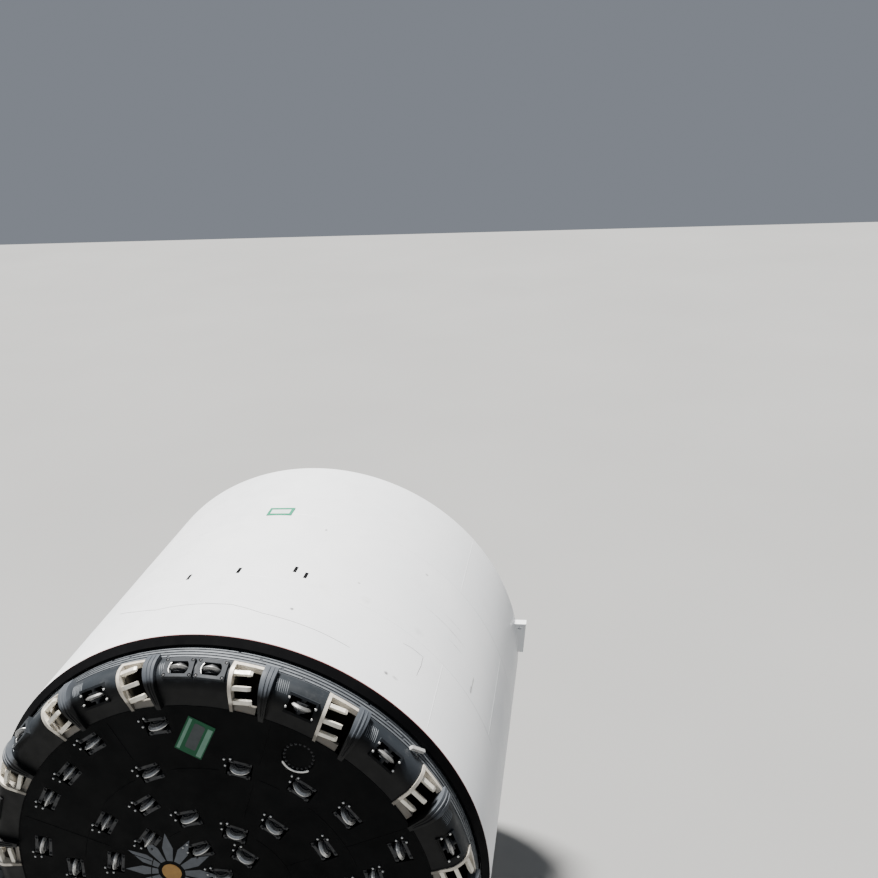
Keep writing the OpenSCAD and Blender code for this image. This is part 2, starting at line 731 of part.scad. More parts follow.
// Beam left behind the erector at the end of its travel
beam_spare = 800;
beam_end_z = carriage_z - erector_travel - beam_spare;
tie_t = 150;
lug_t = 120;
lug_h = 300;
lug_reach = 220;
lug_bore_in = 100;
// Bore in each lug for a drawbar pin
tow_bore_d = 120;

// Twin beams that the erector travels on, tied behind it, with a drawbar lug on each
module erector_beams() color("#c9cdd0") in_bore() difference() {
    union() {
        for (s = [-1, 1]) {
            translate([s * beam_x - post_w / 2, -beam_h / 2, beam_end_z])
                cube([post_w, beam_h, frame_z - gap - beam_end_z]);
            translate([s * beam_x - post_w / 2, conveyor_beam_y - conveyor_beam_h, beam_end_z])
                cube([post_w, beam_h / 2 - conveyor_beam_y, tie_t]);
            translate([s * beam_x - lug_t / 2, -lug_h / 2, beam_end_z - lug_reach])
                cube([lug_t, lug_h, lug_reach + fuse]);
        }
        translate([-beam_x, conveyor_beam_y - conveyor_beam_h, beam_end_z])
            cube([2 * beam_x, conveyor_beam_h, tie_t]);
    }
    translate([0, 0, beam_end_z - lug_reach + lug_bore_in]) rotate([0, 90, 0])
        cylinder(h = 4 * beam_x, d = tow_bore_d, center = true);
}

conveyor_front_z = -700;
conveyor_rear_z = beam_end_z - 600;
side_w = 60;
side_h = 300;
side_x = belt_w / 2 + 40;
foot_h = 120;
foot_inset = 20;
foot_t = 110;

module conveyor_frame() color("#3f6f9f") in_bore() union() {
    for (s = [-1, 1]) translate([s * (side_x + side_w / 2) - side_w / 2, -side_h / 2, conveyor_rear_z])
        cube([side_w, side_h, conveyor_front_z - conveyor_rear_z]);
    for (z = [beam_end_z, frame_z]) {
        translate([-side_x - side_w, conveyor_beam_y + gap, z + foot_inset])
            cube([2 * side_x + 2 * side_w, foot_h, foot_t]);
        for (s = [-1, 1])
            translate([s * (side_x + side_w / 2) - side_w / 2, conveyor_beam_y + gap, z + foot_inset])
                cube([side_w, -conveyor_beam_y, foot_t]);
    }
}

module stadium(r) {
    translate([conveyor_rear_z, -r]) square([conveyor_front_z - conveyor_rear_z, 2 * r]);
    translate([conveyor_rear_z, 0]) circle(r = r);
    translate([conveyor_front_z, 0]) circle(r = r);
}

// Endless belt round the head and tail pulleys
module conveyor_belt() color("#1a1a1a") in_bore() translate([-belt_w / 2, 0, 0])
    rotate([90, 0, 90]) rotate([0, 0, 90]) linear_extrude(belt_w) difference() {
        stadium(pulley_d / 2 + belt_t);
        stadium(pulley_d / 2);
    }

roller_step = 950;
roller_d = 130;
pulley_shaft_d = 90;

module conveyor_rollers() color("#9a9d9f") in_bore() {
    for (z = [conveyor_rear_z, conveyor_front_z]) translate([0, 0, z]) rotate([0, 90, 0]) {
        cylinder(h = belt_w, d = pulley_d - 2 * gap, center = true);
        cylinder(h = 2 * side_x - 2 * gap, d = pulley_shaft_d, center = true);
    }
    for (z = [conveyor_rear_z + roller_step : roller_step : conveyor_front_z - roller_step])
        translate([0, pulley_d / 2 - roller_d / 2 - gap, z]) rotate([0, 90, 0])
            cylinder(h = 2 * side_x - 2 * gap, d = roller_d, center = true);
}

sleeve_w = 100;
sleeve_in = beam_x - post_w / 2 - sleeve_w;
sleeve_out = stator_r - 150;
stator_t = 300;
// Rear shoulder of the fixed ring, which the turning ring runs against
shoulder_h = 120;
shoulder_w = 60;
rotor_z = 15;

// Fixed ring of the erector on the sleeves that travel along its beams
module erector_carriage() color("#d0a024") in_bore() translate([0, 0, carriage_z]) difference() {
    union() {
        rotate_extrude($fn = 180) polygon([[stator_r - stator_t, rotor_z - gap - shoulder_w],
            [stator_r + shoulder_h, rotor_z - gap - shoulder_w], [stator_r + shoulder_h, rotor_z - gap],
            [stator_r, rotor_z - gap], [stator_r, ring_w], [stator_r - stator_t, ring_w]]);
        for (s = [-1, 1]) translate([s * (sleeve_in + sleeve_out) / 2, 0, ring_w / 2])
            cube([sleeve_out - sleeve_in, beam_h + 2 * sleeve_w, ring_w], center = true);
    }
    for (s = [-1, 1]) translate([s * beam_x, 0, 0])
        cube([post_w + 2 * gap, beam_h + 2 * gap, 4 * ring_w], center = true);
}

rotor_gap = 6;
rotor_r = 2500;
guide_w = 360;
guide_start = rotor_r - 250;
guide_end = 3750;
tube_w = 280;
tube_top = guide_start + 70;

// Turning ring with the two guides of the telescopes
module erector_rotor() color("#e0b63a") in_bore() translate([0, 0, carriage_z]) difference() {
    union() {
        ring(rotor_r, stator_r + rotor_gap, rotor_z, ring_w - rotor_z);
        for (s = [-1, 1]) translate([s * arm_x - guide_w / 2, -guide_end, (ring_w - guide_w) / 2])
            cube([guide_w, guide_end - guide_start, guide_w]);
    }
    for (s = [-1, 1]) translate([s * arm_x, -guide_end, ring_w / 2])
        cube([tube_w + 2 * gap, 2 * (guide_end - tube_top + 20), tube_w + 2 * gap], center = true);
}

head_half = 1000;
head_t = 200;
head_clear = 30;
head_low = sqrt(pow(shoe_in_r - head_clear, 2) - head_half * head_half) - erector_reach;

module erector_arms() color("#bfc3c6") in_bore() for (s = [-1, 1])
    translate([s * arm_x - tube_w / 2, -head_low + head_t + gap, carriage_z + ring_w / 2 - tube_w / 2])
        cube([tube_w, head_low - head_t - gap - tube_top, tube_w]);

head_w = 320;
head_over = 80;
pad_t = 60;
pad_in = 300;
pad_w = 560;
boss_w = 300;
boss_h = 180;

// Crosshead that grips a lining segment
module erector_head() color("#c8452e") in_bore() translate([0, 0, carriage_z + ring_w / 2]) union() {
    translate([-head_half - head_over, -head_low + pad_t, -head_w / 2])
        cube([2 * (head_half + head_over), head_t - pad_t, head_w]);
    translate([-head_half + pad_in, -head_low, -pad_w / 2])
        cube([2 * (head_half - pad_in), pad_t + fuse, pad_w]);
    translate([-boss_w / 2, -head_low + head_t - fuse, -boss_w / 2]) cube([boss_w, boss_h, boss_w]);
}

seat_r = shield_r + 180;
seat_y0 = 200;
seat_back = 270;
seat_y1 = shield_len - seat_back;
seat_deg = 4.4;

module cradle_rails() color("#6b5f55") in_bore() for (s = [-1, 1])
    sweep(180 + s * rail_deg - seat_deg / 2, seat_deg)
        polygon([[skin_r(seat_y0) + gap, -seat_y0], [skin_r(seat_y1) + gap, -seat_y1],
            [seat_r, -seat_y1], [seat_r, -seat_y0]]);

cradle_y0 = 450;
cradle_back = 520;
cradle_y1 = shield_len - cradle_back;
cradle_web_t = 60;
cradle_flange_w = 320;
cradle_half = 3400;
cradle_top = 5520;
cradle_side_h = 300;
cradle_slope = 220;
cradle_flange_t = 40;

function cradle_y(i) = cradle_y0 + i * (cradle_y1 - cradle_y0) / (cradle_frames_n - 1);

module cradle_frames() color("#5d5249") in_bore() for (i = [0 : cradle_frames_n - 1])
    translate([0, 0, -cradle_y(i)]) union() {
        translate([0, 0, -cradle_web_t / 2]) linear_extrude(cradle_web_t) difference() {
            polygon([[-cradle_half, -axis_h], [cradle_half, -axis_h], [cradle_half, cradle_side_h - axis_h],
                [cradle_half - cradle_slope, -cradle_top], [cradle_slope - cradle_half, -cradle_top],
                [-cradle_half, cradle_side_h - axis_h]]);
            circle(r = seat_r + gap, $fn = 720);
        }
        translate([-cradle_half, -axis_h, -cradle_flange_w / 2])
            cube([2 * cradle_half, cradle_flange_t, cradle_flange_w]);
    }

tie_beam_x = 2500;
tie_beam_w = 220;

module cradle_beams() color("#5d5249") in_bore()
    for (i = [0 : cradle_frames_n - 2], s = [-1, 1]) {
        z0 = -cradle_y(i + 1) + cradle_flange_w / 2 + gap;
        translate([s * tie_beam_x - tie_beam_w / 2, -axis_h, z0])
            cube([tie_beam_w, tie_beam_w, -cradle_y(i) - cradle_flange_w / 2 - gap - z0]);
    }

face_plate();
shoulder_castings();
rim_ring();
wear_strips();
rim_lugs();
bucket_lips();
bucket_teeth();
bucket_guards();
disc_rings();
disc_hubs();
cutter_saddles();
cutter_boxes();
gauge_housings();
gauge_rings();
gauge_hubs();
manhole_covers();
face_sign();
muck_webs();
back_plate();
centre_drum();
drive_flange();
cutting_edge();
front_skin();
middle_skin();
tail_skin();
tail_brushes();
shield_sign();
lifting_brackets();
bulkhead();
main_drive();
drive_motors();
frame_rings();
cross_beams();
frame_posts();
thrust_barrels();
work_decks();
deck_rails();
erector_beams();
conveyor_frame();
conveyor_belt();
conveyor_rollers();
cradle_rails();
cradle_frames();
cradle_beams();
thrust_rods_top();
thrust_shoes_top();
thrust_rods_right();
thrust_shoes_right();
thrust_rods_bottom();
thrust_shoes_bottom();
thrust_rods_left();
thrust_shoes_left();
erector_carriage();
erector_rotor();
erector_arms();
erector_head();
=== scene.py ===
# %% [markdown]
# A rock-cutting head and its shield, dressed for the eye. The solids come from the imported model, and this
# lesson adds what a welder, a fitter and a painter would leave on them: bolts, weld beads, worn steel, paint
# and dust. Each step says what the real thing is, how it could be made, and why this way was taken.

# %% Load the frame
import json
import math
import random
import bmesh
import bpy
from mathutils import Matrix, Vector


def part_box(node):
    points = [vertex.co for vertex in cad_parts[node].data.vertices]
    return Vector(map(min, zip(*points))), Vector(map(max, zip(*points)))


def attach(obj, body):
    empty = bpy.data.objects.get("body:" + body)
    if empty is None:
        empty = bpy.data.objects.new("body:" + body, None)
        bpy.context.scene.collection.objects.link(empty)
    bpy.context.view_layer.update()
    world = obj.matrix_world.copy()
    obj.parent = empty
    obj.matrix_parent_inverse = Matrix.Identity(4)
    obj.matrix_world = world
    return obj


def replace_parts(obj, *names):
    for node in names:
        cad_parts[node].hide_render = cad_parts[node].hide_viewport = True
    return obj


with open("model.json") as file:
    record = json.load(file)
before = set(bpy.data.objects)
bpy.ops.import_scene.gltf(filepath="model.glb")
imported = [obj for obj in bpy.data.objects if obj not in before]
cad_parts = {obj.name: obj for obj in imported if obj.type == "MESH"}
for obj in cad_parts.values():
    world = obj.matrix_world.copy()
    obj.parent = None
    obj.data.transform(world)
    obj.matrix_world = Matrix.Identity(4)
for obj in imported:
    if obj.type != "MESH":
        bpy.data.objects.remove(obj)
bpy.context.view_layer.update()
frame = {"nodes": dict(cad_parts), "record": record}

# %% [markdown]
# The machine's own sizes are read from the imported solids, so that whatever is added here follows them. The
# bore's axis runs along Y through the middle of the shield, and the shield's front edge is where distances
# ahead to the rock, or back to the tail, are measured from. The shield narrows a little towards its tail.

# %% Sizes from the solids
shield_low, shield_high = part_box("front_skin")
SHIELD_R = (shield_high.x - shield_low.x) / 2
AXIS_H = (shield_high.z + shield_low.z) / 2
FRONT_Y = shield_low.y
SHIELD_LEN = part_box("tail_skin")[1].y - FRONT_Y
TAPER = 0.030
FACE_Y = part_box("face_plate")[0].y
PLATE_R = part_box("face_plate")[1].x
RIM_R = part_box("rim_ring")[1].x
SHOULDER_R = 0.42
ARC_R = RIM_R - SHOULDER_R


def front_of(node):
    """How far a node's front end lies ahead of the shield's front edge."""
    return FRONT_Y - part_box(node)[0].y


def rear_of(node):
    """How far a node's rear end lies ahead of the shield's front edge; it is negative inside the shield."""
    return FRONT_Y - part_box(node)[1].y


FACE_AHEAD = front_of("face_plate")
print("shield radius", round(SHIELD_R, 3), "axis height", round(AXIS_H, 3), "face", round(FACE_AHEAD, 3))

# %% [markdown]
# A clock angle, a radius and a distance ahead say where a thing sits on a round machine, the way the solids
# were set out. Three helpers turn them into a place with its own directions: on the bore, on the rounded
# shoulder, and on the shield's skin.

# %% Places on the round machine
OUT = Vector((1.0, 0.0, 0.0))
AHEAD = Vector((0.0, 0.0, 1.0))
TO_ROCK = Vector((0.0, -1.0, 0.0))
TO_TAIL = Vector((0.0, 1.0, 0.0))
UPRIGHT = Matrix.Rotation(math.radians(90), 4, "X")
HEAD_BACK = Matrix.Rotation(math.pi, 4, "X")


def bore_place(clock, radius, ahead=0.0):
    """X outwards along the radius, Y sideways, Z ahead to the rock; ahead is from the shield's front edge."""
    return (Matrix.Translation((0.0, FRONT_Y, AXIS_H)) @ UPRIGHT
            @ Matrix.Rotation(math.radians(90.0 - clock), 4, "Z") @ Matrix.Translation((radius, 0.0, ahead)))


def shoulder_place(clock, tilt):
    """Z along the outward normal of the rounded shoulder, X across it; tilt 90 faces the rock."""
    return (bore_place(clock, ARC_R, FACE_AHEAD - SHOULDER_R)
            @ Matrix.Rotation(math.radians(90.0 - tilt), 4, "Y") @ Matrix.Translation((0.0, 0.0, SHOULDER_R)))


def skin_radius(back):
    return SHIELD_R - TAPER * back / SHIELD_LEN


def skin_place(back, clock):
    """A place on the shield's skin behind its front edge: X outwards, Y anticlockwise, Z ahead."""
    return bore_place(clock, skin_radius(back), -back)


def facing(place, direction):
    """A direction of a place's own frame, as the whole machine has it."""
    return (place.to_3x3() @ direction).normalized()


def clock_of(point):
    return math.degrees(math.atan2(point.x, point.z - AXIS_H))


def radius_of(point):
    return math.hypot(point.x, point.z - AXIS_H)


def place_over(point, ahead):
    """A place on the bore at a point's own clock angle and radius."""
    return bore_place(clock_of(point), radius_of(point), ahead)


def turn_between(first, second):
    """Degrees from one clock angle to another, the short way round."""
    return (second - first + 180.0) % 360.0 - 180.0


print("face place", [round(v, 2) for v in bore_place(0.0, 0.0, FACE_AHEAD).translation])

# %% [markdown]
# The picture looks down on the head from above and to its right, a little tilted. The camera is built from
# three turns and a place, because its tilt can't be had by pointing it at a target.

# %% The camera
PHOTO_SIDE = 878
PHOTO_FOCUS = 995.8
SENSOR = 36.0
CAMERA_FROM_EDGE = Vector((8.504, -17.855, 17.863))
CAMERA_YAW = 0.1677
CAMERA_PITCH = 0.3716
CAMERA_ROLL = -0.055
FARTHEST = 500.0

camera_place = Vector((0.0, FRONT_Y, AXIS_H)) + CAMERA_FROM_EDGE
camera_data = bpy.data.cameras.new("viewpoint")
camera_data.sensor_width = SENSOR
camera_data.lens = SENSOR * PHOTO_FOCUS / PHOTO_SIDE
camera_data.clip_end = FARTHEST
camera = bpy.data.objects.new("viewpoint", camera_data)
bpy.context.scene.collection.objects.link(camera)
forwards = Vector((-math.sin(CAMERA_YAW) * math.cos(CAMERA_PITCH),
                   math.cos(CAMERA_YAW) * math.cos(CAMERA_PITCH), -math.sin(CAMERA_PITCH)))
level_right = Vector((math.cos(CAMERA_YAW), math.sin(CAMERA_YAW), 0.0))
level_up = level_right.cross(forwards)
right = math.cos(CAMERA_ROLL) * level_right + math.sin(CAMERA_ROLL) * level_up
up = right.cross(forwards)
camera.matrix_world = Matrix.Translation(camera_place) @ Matrix((right, up, -forwards)).transposed().to_4x4()
bpy.context.scene.camera = camera
print("lens", round(camera_data.lens, 2))

# %% [markdown]
# A studio for a machine twelve metres tall: one wide pale floor, a pale sky all round, and two soft lamps.
# The high light comes from overhead and from behind the plane of the face, so that the crown of the shield
# is brightest, its flanks are a little darker, and the black face gets no direct light from it. It is a sun
# lamp with a wide disc, because that lights a floor of any size evenly and still gives soft shadows. The
# second lamp is weak and only keeps the discs and bolts on the face from going flat.

# %% The floor and the lights
FLOOR_HALF = 120.0
SKY_STRENGTH = 0.27
SKY_TINT = (0.80, 0.87, 1.0, 1.0)
SUN_STRENGTH = 15.0
SUN_DISC_DEG = 12.0
SUN_COURSE = Vector((11.0, -16.0, -47.0))
LAMP_POWER = 2600.0
LAMP_SIDE = 10.0
LAMP_PLACE = Vector((-16.0, -46.0, 30.0))
LAMP_TARGET = Vector((0.0, -5.0, 7.0))

floor_mesh = bmesh.new()
bmesh.ops.create_grid(floor_mesh, x_segments=1, y_segments=1, size=FLOOR_HALF)
floor_data = bpy.data.meshes.new("floor")
floor_mesh.to_mesh(floor_data)
floor_mesh.free()
floor = bpy.data.objects.new("floor", floor_data)
bpy.context.scene.collection.objects.link(floor)

sky = bpy.data.worlds.new("pale_sky")
bpy.context.scene.world = sky
sky.use_nodes = True
sky.node_tree.nodes["Background"].inputs["Color"].default_value = SKY_TINT
sky.node_tree.nodes["Background"].inputs["Strength"].default_value = SKY_STRENGTH


def add_light(name, kind, energy, tint, course, place=(0.0, 0.0, 0.0)):
    """A light that shines along its course; its settings come back, so that the rest can be set."""
    data = bpy.data.lights.new(name, kind)
    data.energy = energy
    data.color = tint
    lamp = bpy.data.objects.new(name, data)
    bpy.context.scene.collection.objects.link(lamp)
    lamp.location = place
    lamp.rotation_euler = course.to_track_quat("-Z", "Y").to_euler()
    return data


high_light = add_light("high_light", "SUN", SUN_STRENGTH, (1.0, 0.98, 0.95), SUN_COURSE)
high_light.angle = math.radians(SUN_DISC_DEG)
front_lamp = add_light("front_lamp", "AREA", LAMP_POWER, (0.95, 0.97, 1.0),
                       LAMP_TARGET - LAMP_PLACE, LAMP_PLACE)
front_lamp.shape = "SQUARE"
front_lamp.size = LAMP_SIDE
print("stage and lights are set")

# %% [markdown]
# Each finish is a small tree of nodes on Object coordinates, in metres. A few helpers keep the trees short:
# clouds gives soft noise, spread maps a part of it to 0..1, patches lays a second colour over a tone, mark is
# a soft ellipse at a place, and bumps roughens the surface. Numbers that are the same all over sit on the
# shader's own sockets.

# %% Helpers for the finishes
class Finish:
    """One material under construction: its tree, its shader and its Object coordinates."""

    def __init__(self, name):
        self.material = bpy.data.materials.new(name)
        self.material.use_nodes = True
        self.tree = self.material.node_tree
        self.shader = self.tree.nodes["Principled BSDF"]
        self.where = self.node("ShaderNodeTexCoord").outputs["Object"]
        self.normal = None

    def node(self, kind, inputs=None, **values):
        """A new node with its options set, and its inputs set or joined."""
        made = self.tree.nodes.new(kind)
        for key, value in values.items():
            setattr(made, key, value)
        for name, value in (inputs or {}).items():
            self.put(value, made.inputs[name])
        return made

    def put(self, value, socket):
        """Sets a socket to a number, a vector or a colour, or joins another node's output to it."""
        if isinstance(value, bpy.types.NodeSocket):
            self.tree.links.new(value, socket)
        else:
            socket.default_value = (*value, 1.0) if socket.type == "RGBA" else value

    def clouds(self, scale, detail, stretch=(1.0, 1.0, 1.0), rough=0.55):
        where = self.node("ShaderNodeMapping", {"Vector": self.where, "Scale": stretch}).outputs["Vector"]
        return self.node("ShaderNodeTexNoise", {"Vector": where, "Scale": scale, "Detail": detail,
                                                "Roughness": rough}).outputs["Fac"]

    def spread(self, value, low, high, to_low=0.0, to_high=1.0):
        return self.node("ShaderNodeMapRange", {"Value": value, "From Min": low, "From Max": high,
                                                "To Min": to_low, "To Max": to_high}).outputs["Result"]

    def sums(self, kind, first, second=0.0):
        return self.node("ShaderNodeMath", {0: first, 1: second}, operation=kind).outputs["Value"]

    def axis(self, letter):
        return self.node("ShaderNodeSeparateXYZ", {"Vector": self.where}).outputs[letter]

    def radius(self, scale, detail, wander):
        """Distance from the bore's axis, which wanders so that a border drawn along it is uneven."""
        across = self.axis("X")
        upright = self.sums("SUBTRACT", self.axis("Z"), AXIS_H)
        squares = [self.sums("MULTIPLY", side, side) for side in (across, upright)]
        uneven = self.spread(self.clouds(scale, detail), 0.3, 0.7, -wander, wander)
        return self.sums("ADD", self.sums("SQRT", self.sums("ADD", *squares)), uneven)

    def blend(self, share, first, second):
        mix = self.node("ShaderNodeMix", {"Factor": share}, data_type="RGBA")
        for name, colour in (("A", first), ("B", second)):
            self.put(colour, [s for s in mix.inputs if s.name == name and s.type == "RGBA"][0])
        return [s for s in mix.outputs if s.type == "RGBA"][0]

    def patches(self, tone, colour, scale, detail, low, high, most=1.0, rough=0.55):
        """A tone with a second colour over it in soft patches."""
        share = self.spread(self.clouds(scale, detail, rough=rough), low, high, 0.0, most)
        return self.blend(share, tone, colour)

    def mark(self, place, turn, size):
        """1 inside a soft ellipse about a place, 0 outside; turn is about Y."""
        ellipse = {"Vector": self.where, "Location": place, "Rotation": (0.0, turn, 0.0), "Scale": size}
        where = self.node("ShaderNodeMapping", ellipse, vector_type="TEXTURE").outputs["Vector"]
        length = self.node("ShaderNodeVectorMath", {"Vector": where}, operation="LENGTH").outputs["Value"]
        return self.spread(length, 0.45, 1.0, 1.0, 0.0)

    def relief(self, height, strength, depth):
        bump = self.node("ShaderNodeBump", {"Height": height, "Strength": strength, "Distance": depth})
        if self.normal is not None:
            self.put(self.normal, bump.inputs["Normal"])
        self.normal = bump.outputs["Normal"]

    def bumps(self, scale, detail, strength, depth):
        self.relief(self.clouds(scale, detail), strength, depth)

    def sheen(self, scale, detail, low, high, top=0.75):
        """A roughness that drifts from low to high."""
        return self.spread(self.clouds(scale, detail), 0.3, top, low, high)

    def done(self, colour, roughness, metallic=0.0, gloss=0.5):
        inputs = {"Base Color": colour, "Roughness": roughness, "Metallic": metallic,
                  "Specular IOR Level": gloss}
        if self.normal is not None:
            inputs["Normal"] = self.normal
        for name, value in inputs.items():
            self.put(value, self.shader.inputs[name])
        return self.material


print("finish helpers are ready")

# %% [markdown]
# Most of the machine is painted steel plate. Spray paint on plate isn't even: it has a faint orange peel, its
# tone drifts over a metre or two, dust lies on it, and it is chipped here and there. One function makes every
# paint, and each row sets its own colours and how worn it is.

# %% Painted steel
PRIMER = (0.16, 0.075, 0.04)


def painted_steel(name, paint, drift, dust, roughness, wear=0.25, chips=0.0, gloss=0.4):
    """Paint whose tone drifts to a second colour, with dust in patches and chips down to primer."""
    make = Finish(name)
    tone = make.patches(paint, drift, 0.55, 3.0, 0.35, 0.68)
    tone = make.patches(tone, dust, 2.3, 7.0, 0.52, 0.80, wear, 0.68)
    if chips > 0.0:
        spots = make.spread(make.clouds(9.0, 8.0, rough=0.75), 0.74 - chips * 0.1, 0.76)
        tone = make.blend(spots, tone, PRIMER)
        make.relief(make.spread(spots, 0.0, 1.0, 1.0, 0.0), 0.4, 0.002)
    make.bumps(70.0, 2.0, 0.35, 0.0012)
    make.bumps(1.1, 2.0, 0.25, 0.012)
    return make.done(tone, make.sheen(3.1, 6.0, roughness - 0.08, roughness + 0.16), gloss=gloss)


PAINTS = {
    # slot: (paint, drift, dust, roughness, wear, chips)
    "rim_paint": ((0.024, 0.027, 0.032), (0.036, 0.040, 0.047), (0.12, 0.12, 0.12), 0.45, 0.30, 0.3),
    "inner_paint": ((0.060, 0.054, 0.040), (0.080, 0.070, 0.050), (0.12, 0.10, 0.072), 0.62, 0.50, 0.3),
    "frame_paint": ((0.025, 0.029, 0.033), (0.036, 0.041, 0.046), (0.10, 0.10, 0.10), 0.45, 0.35, 0.3),
    "inner_white": ((0.56, 0.58, 0.58), (0.62, 0.64, 0.64), (0.42, 0.39, 0.35), 0.48, 0.45, 0.3),
    "drive_paint": ((0.30, 0.33, 0.35), (0.35, 0.38, 0.40), (0.30, 0.28, 0.25), 0.42, 0.40, 0.3),
    "motor_paint": ((0.030, 0.105, 0.26), (0.040, 0.125, 0.30), (0.16, 0.17, 0.18), 0.34, 0.35, 0.2),
    "cylinder_paint": ((0.60, 0.36, 0.030), (0.66, 0.42, 0.045), (0.30, 0.24, 0.16), 0.36, 0.40, 0.3),
    "rail_paint": ((0.64, 0.42, 0.030), (0.70, 0.47, 0.045), (0.30, 0.24, 0.16), 0.40, 0.40, 0.3),
    "conveyor_paint": ((0.045, 0.135, 0.28), (0.055, 0.160, 0.32), (0.20, 0.19, 0.18), 0.40, 0.45, 0.3),
    "cradle_steel": ((0.100, 0.070, 0.055), (0.135, 0.088, 0.065), (0.28, 0.24, 0.20), 0.62, 0.50, 0.6),
    "erector_paint": ((0.60, 0.36, 0.030), (0.66, 0.42, 0.045), (0.30, 0.24, 0.16), 0.38, 0.35, 0.3),
    "head_paint": ((0.36, 0.035, 0.020), (0.42, 0.050, 0.028), (0.28, 0.18, 0.14), 0.38, 0.35, 0.3),
    "shoe_paint": ((0.36, 0.035, 0.020), (0.42, 0.050, 0.028), (0.28, 0.18, 0.14), 0.38, 0.35, 0.3),
}
finishes = {slot: painted_steel(slot, *row) for slot, row in PAINTS.items()}
# The shield's bevelled front edge: black paint made darker still, so it is partly black paint and partly
# painted shade on the band before the cutterhead. The slots in the skin use this finish as painted shade.
finishes["edge_paint"] = painted_steel("edge_paint", (0.0040, 0.0040, 0.0045), (0.0065, 0.0065, 0.0070),
                                       (0.020, 0.020, 0.019), 0.65, 0.20, 0.1, gloss=0.04)
print("paints", len(finishes))

# %% [markdown]
# The teeth, disc rings and wear strips are bare steel. Cast steel that has only just been ground is pale and
# satin, with rust starting in the hollows. Metal reads as metal through its reflections, so most of these
# have a high metallic value, and all have a rough brushed sheen and a little rust.

# %% Bare steel
def bare_steel(name, bright, dull, rust, roughness, rusting, metallic):
    """Ground or cast steel with dull patches and the first rust."""
    make = Finish(name)
    tone = make.patches(bright, dull, 4.0, 6.0, 0.35, 0.70)
    most_rust = min(1.0, 0.35 + rusting)
    tone = make.patches(tone, rust, 7.0, 8.0, 0.62 - 0.2 * rusting, 0.80, most_rust, 0.7)
    make.bumps(160.0, 3.0, 0.35, 0.0012)
    make.bumps(14.0, 4.0, 0.35, 0.004)
    return make.done(tone, make.sheen(12.0, 5.0, roughness - 0.07, roughness + 0.18, 0.7), metallic)


STEELS = {
    # slot: (bright, dull, rust, roughness, rusting, metallic)
    "wear_steel": ((0.150, 0.162, 0.175), (0.105, 0.115, 0.124), (0.10, 0.075, 0.055), 0.46, 0.15, 0.45),
    "bare_steel": ((0.72, 0.72, 0.70), (0.56, 0.56, 0.54), (0.34, 0.22, 0.14), 0.36, 0.10, 0.55),
    "tooth_steel": ((0.80, 0.77, 0.68), (0.66, 0.62, 0.53), (0.38, 0.25, 0.16), 0.42, 0.20, 0.30),
    "disc_steel": ((0.72, 0.72, 0.70), (0.50, 0.50, 0.48), (0.28, 0.19, 0.13), 0.30, 0.20, 0.85),
    "gauge_steel": ((0.40, 0.40, 0.39), (0.22, 0.22, 0.21), (0.20, 0.14, 0.10), 0.36, 0.25, 0.75),
    "hub_steel": ((0.016, 0.017, 0.019), (0.028, 0.030, 0.033), (0.045, 0.034, 0.026), 0.50, 0.20, 0.30),
    "brush_wire": ((0.26, 0.23, 0.19), (0.17, 0.15, 0.12), (0.14, 0.09, 0.05), 0.50, 0.30, 0.60),
    "roller_steel": ((0.42, 0.43, 0.44), (0.30, 0.31, 0.31), (0.22, 0.14, 0.09), 0.38, 0.20, 0.80),
    "rod_steel": ((0.80, 0.81, 0.82), (0.72, 0.73, 0.74), (0.45, 0.40, 0.34), 0.14, 0.00, 1.00),
}
for slot, row in STEELS.items():
    finishes[slot] = bare_steel(slot, *row)
print("steels", len(STEELS))

# %% [markdown]
# The shield's white paint is the largest surface, so it gets marks of its own: broad faint stains, fine
# scuffs, and small dark spots and scrapes at set places. The table says where each lies on the skin, how
# long it is both ways and how strong it is. At the very edge a thin line of red primer shows.

# %% The shield's white
WHITE = (0.80, 0.81, 0.82)
WHITE_DRIFT = (0.74, 0.76, 0.78)
PRIMER_EDGE = 0.020
PRIMER_END = 0.030
MARK_DEPTH = 0.5
STAINS = [
    # back, clock, length round the skin, length along the bore, strength
    (5.52, 12.5, 0.045, 0.06, 0.9), (1.52, 14.5, 0.06, 0.06, 0.9), (5.61, 40.9, 0.06, 0.05, 0.7),
    (3.52, 25.7, 0.05, 0.05, 0.5), (0.80, 38.8, 0.07, 0.07, 0.8), (0.84, 41.1, 0.10, 0.06, 0.5),
    (3.05, 62.7, 0.06, 0.18, 0.9), (3.38, 62.9, 0.035, 0.28, 0.7), (2.96, 28.7, 0.16, 0.18, 0.16),
    (3.04, 43.4, 0.18, 0.18, 0.16), (4.22, 48.5, 0.75, 0.018, 0.45), (4.20, 54.0, 0.50, 0.02, 0.40),
    (3.82, 54.5, 0.35, 0.02, 0.45), (4.62, 52.5, 0.45, 0.025, 0.30), (5.70, -22.0, 0.30, 0.03, 0.25),
]


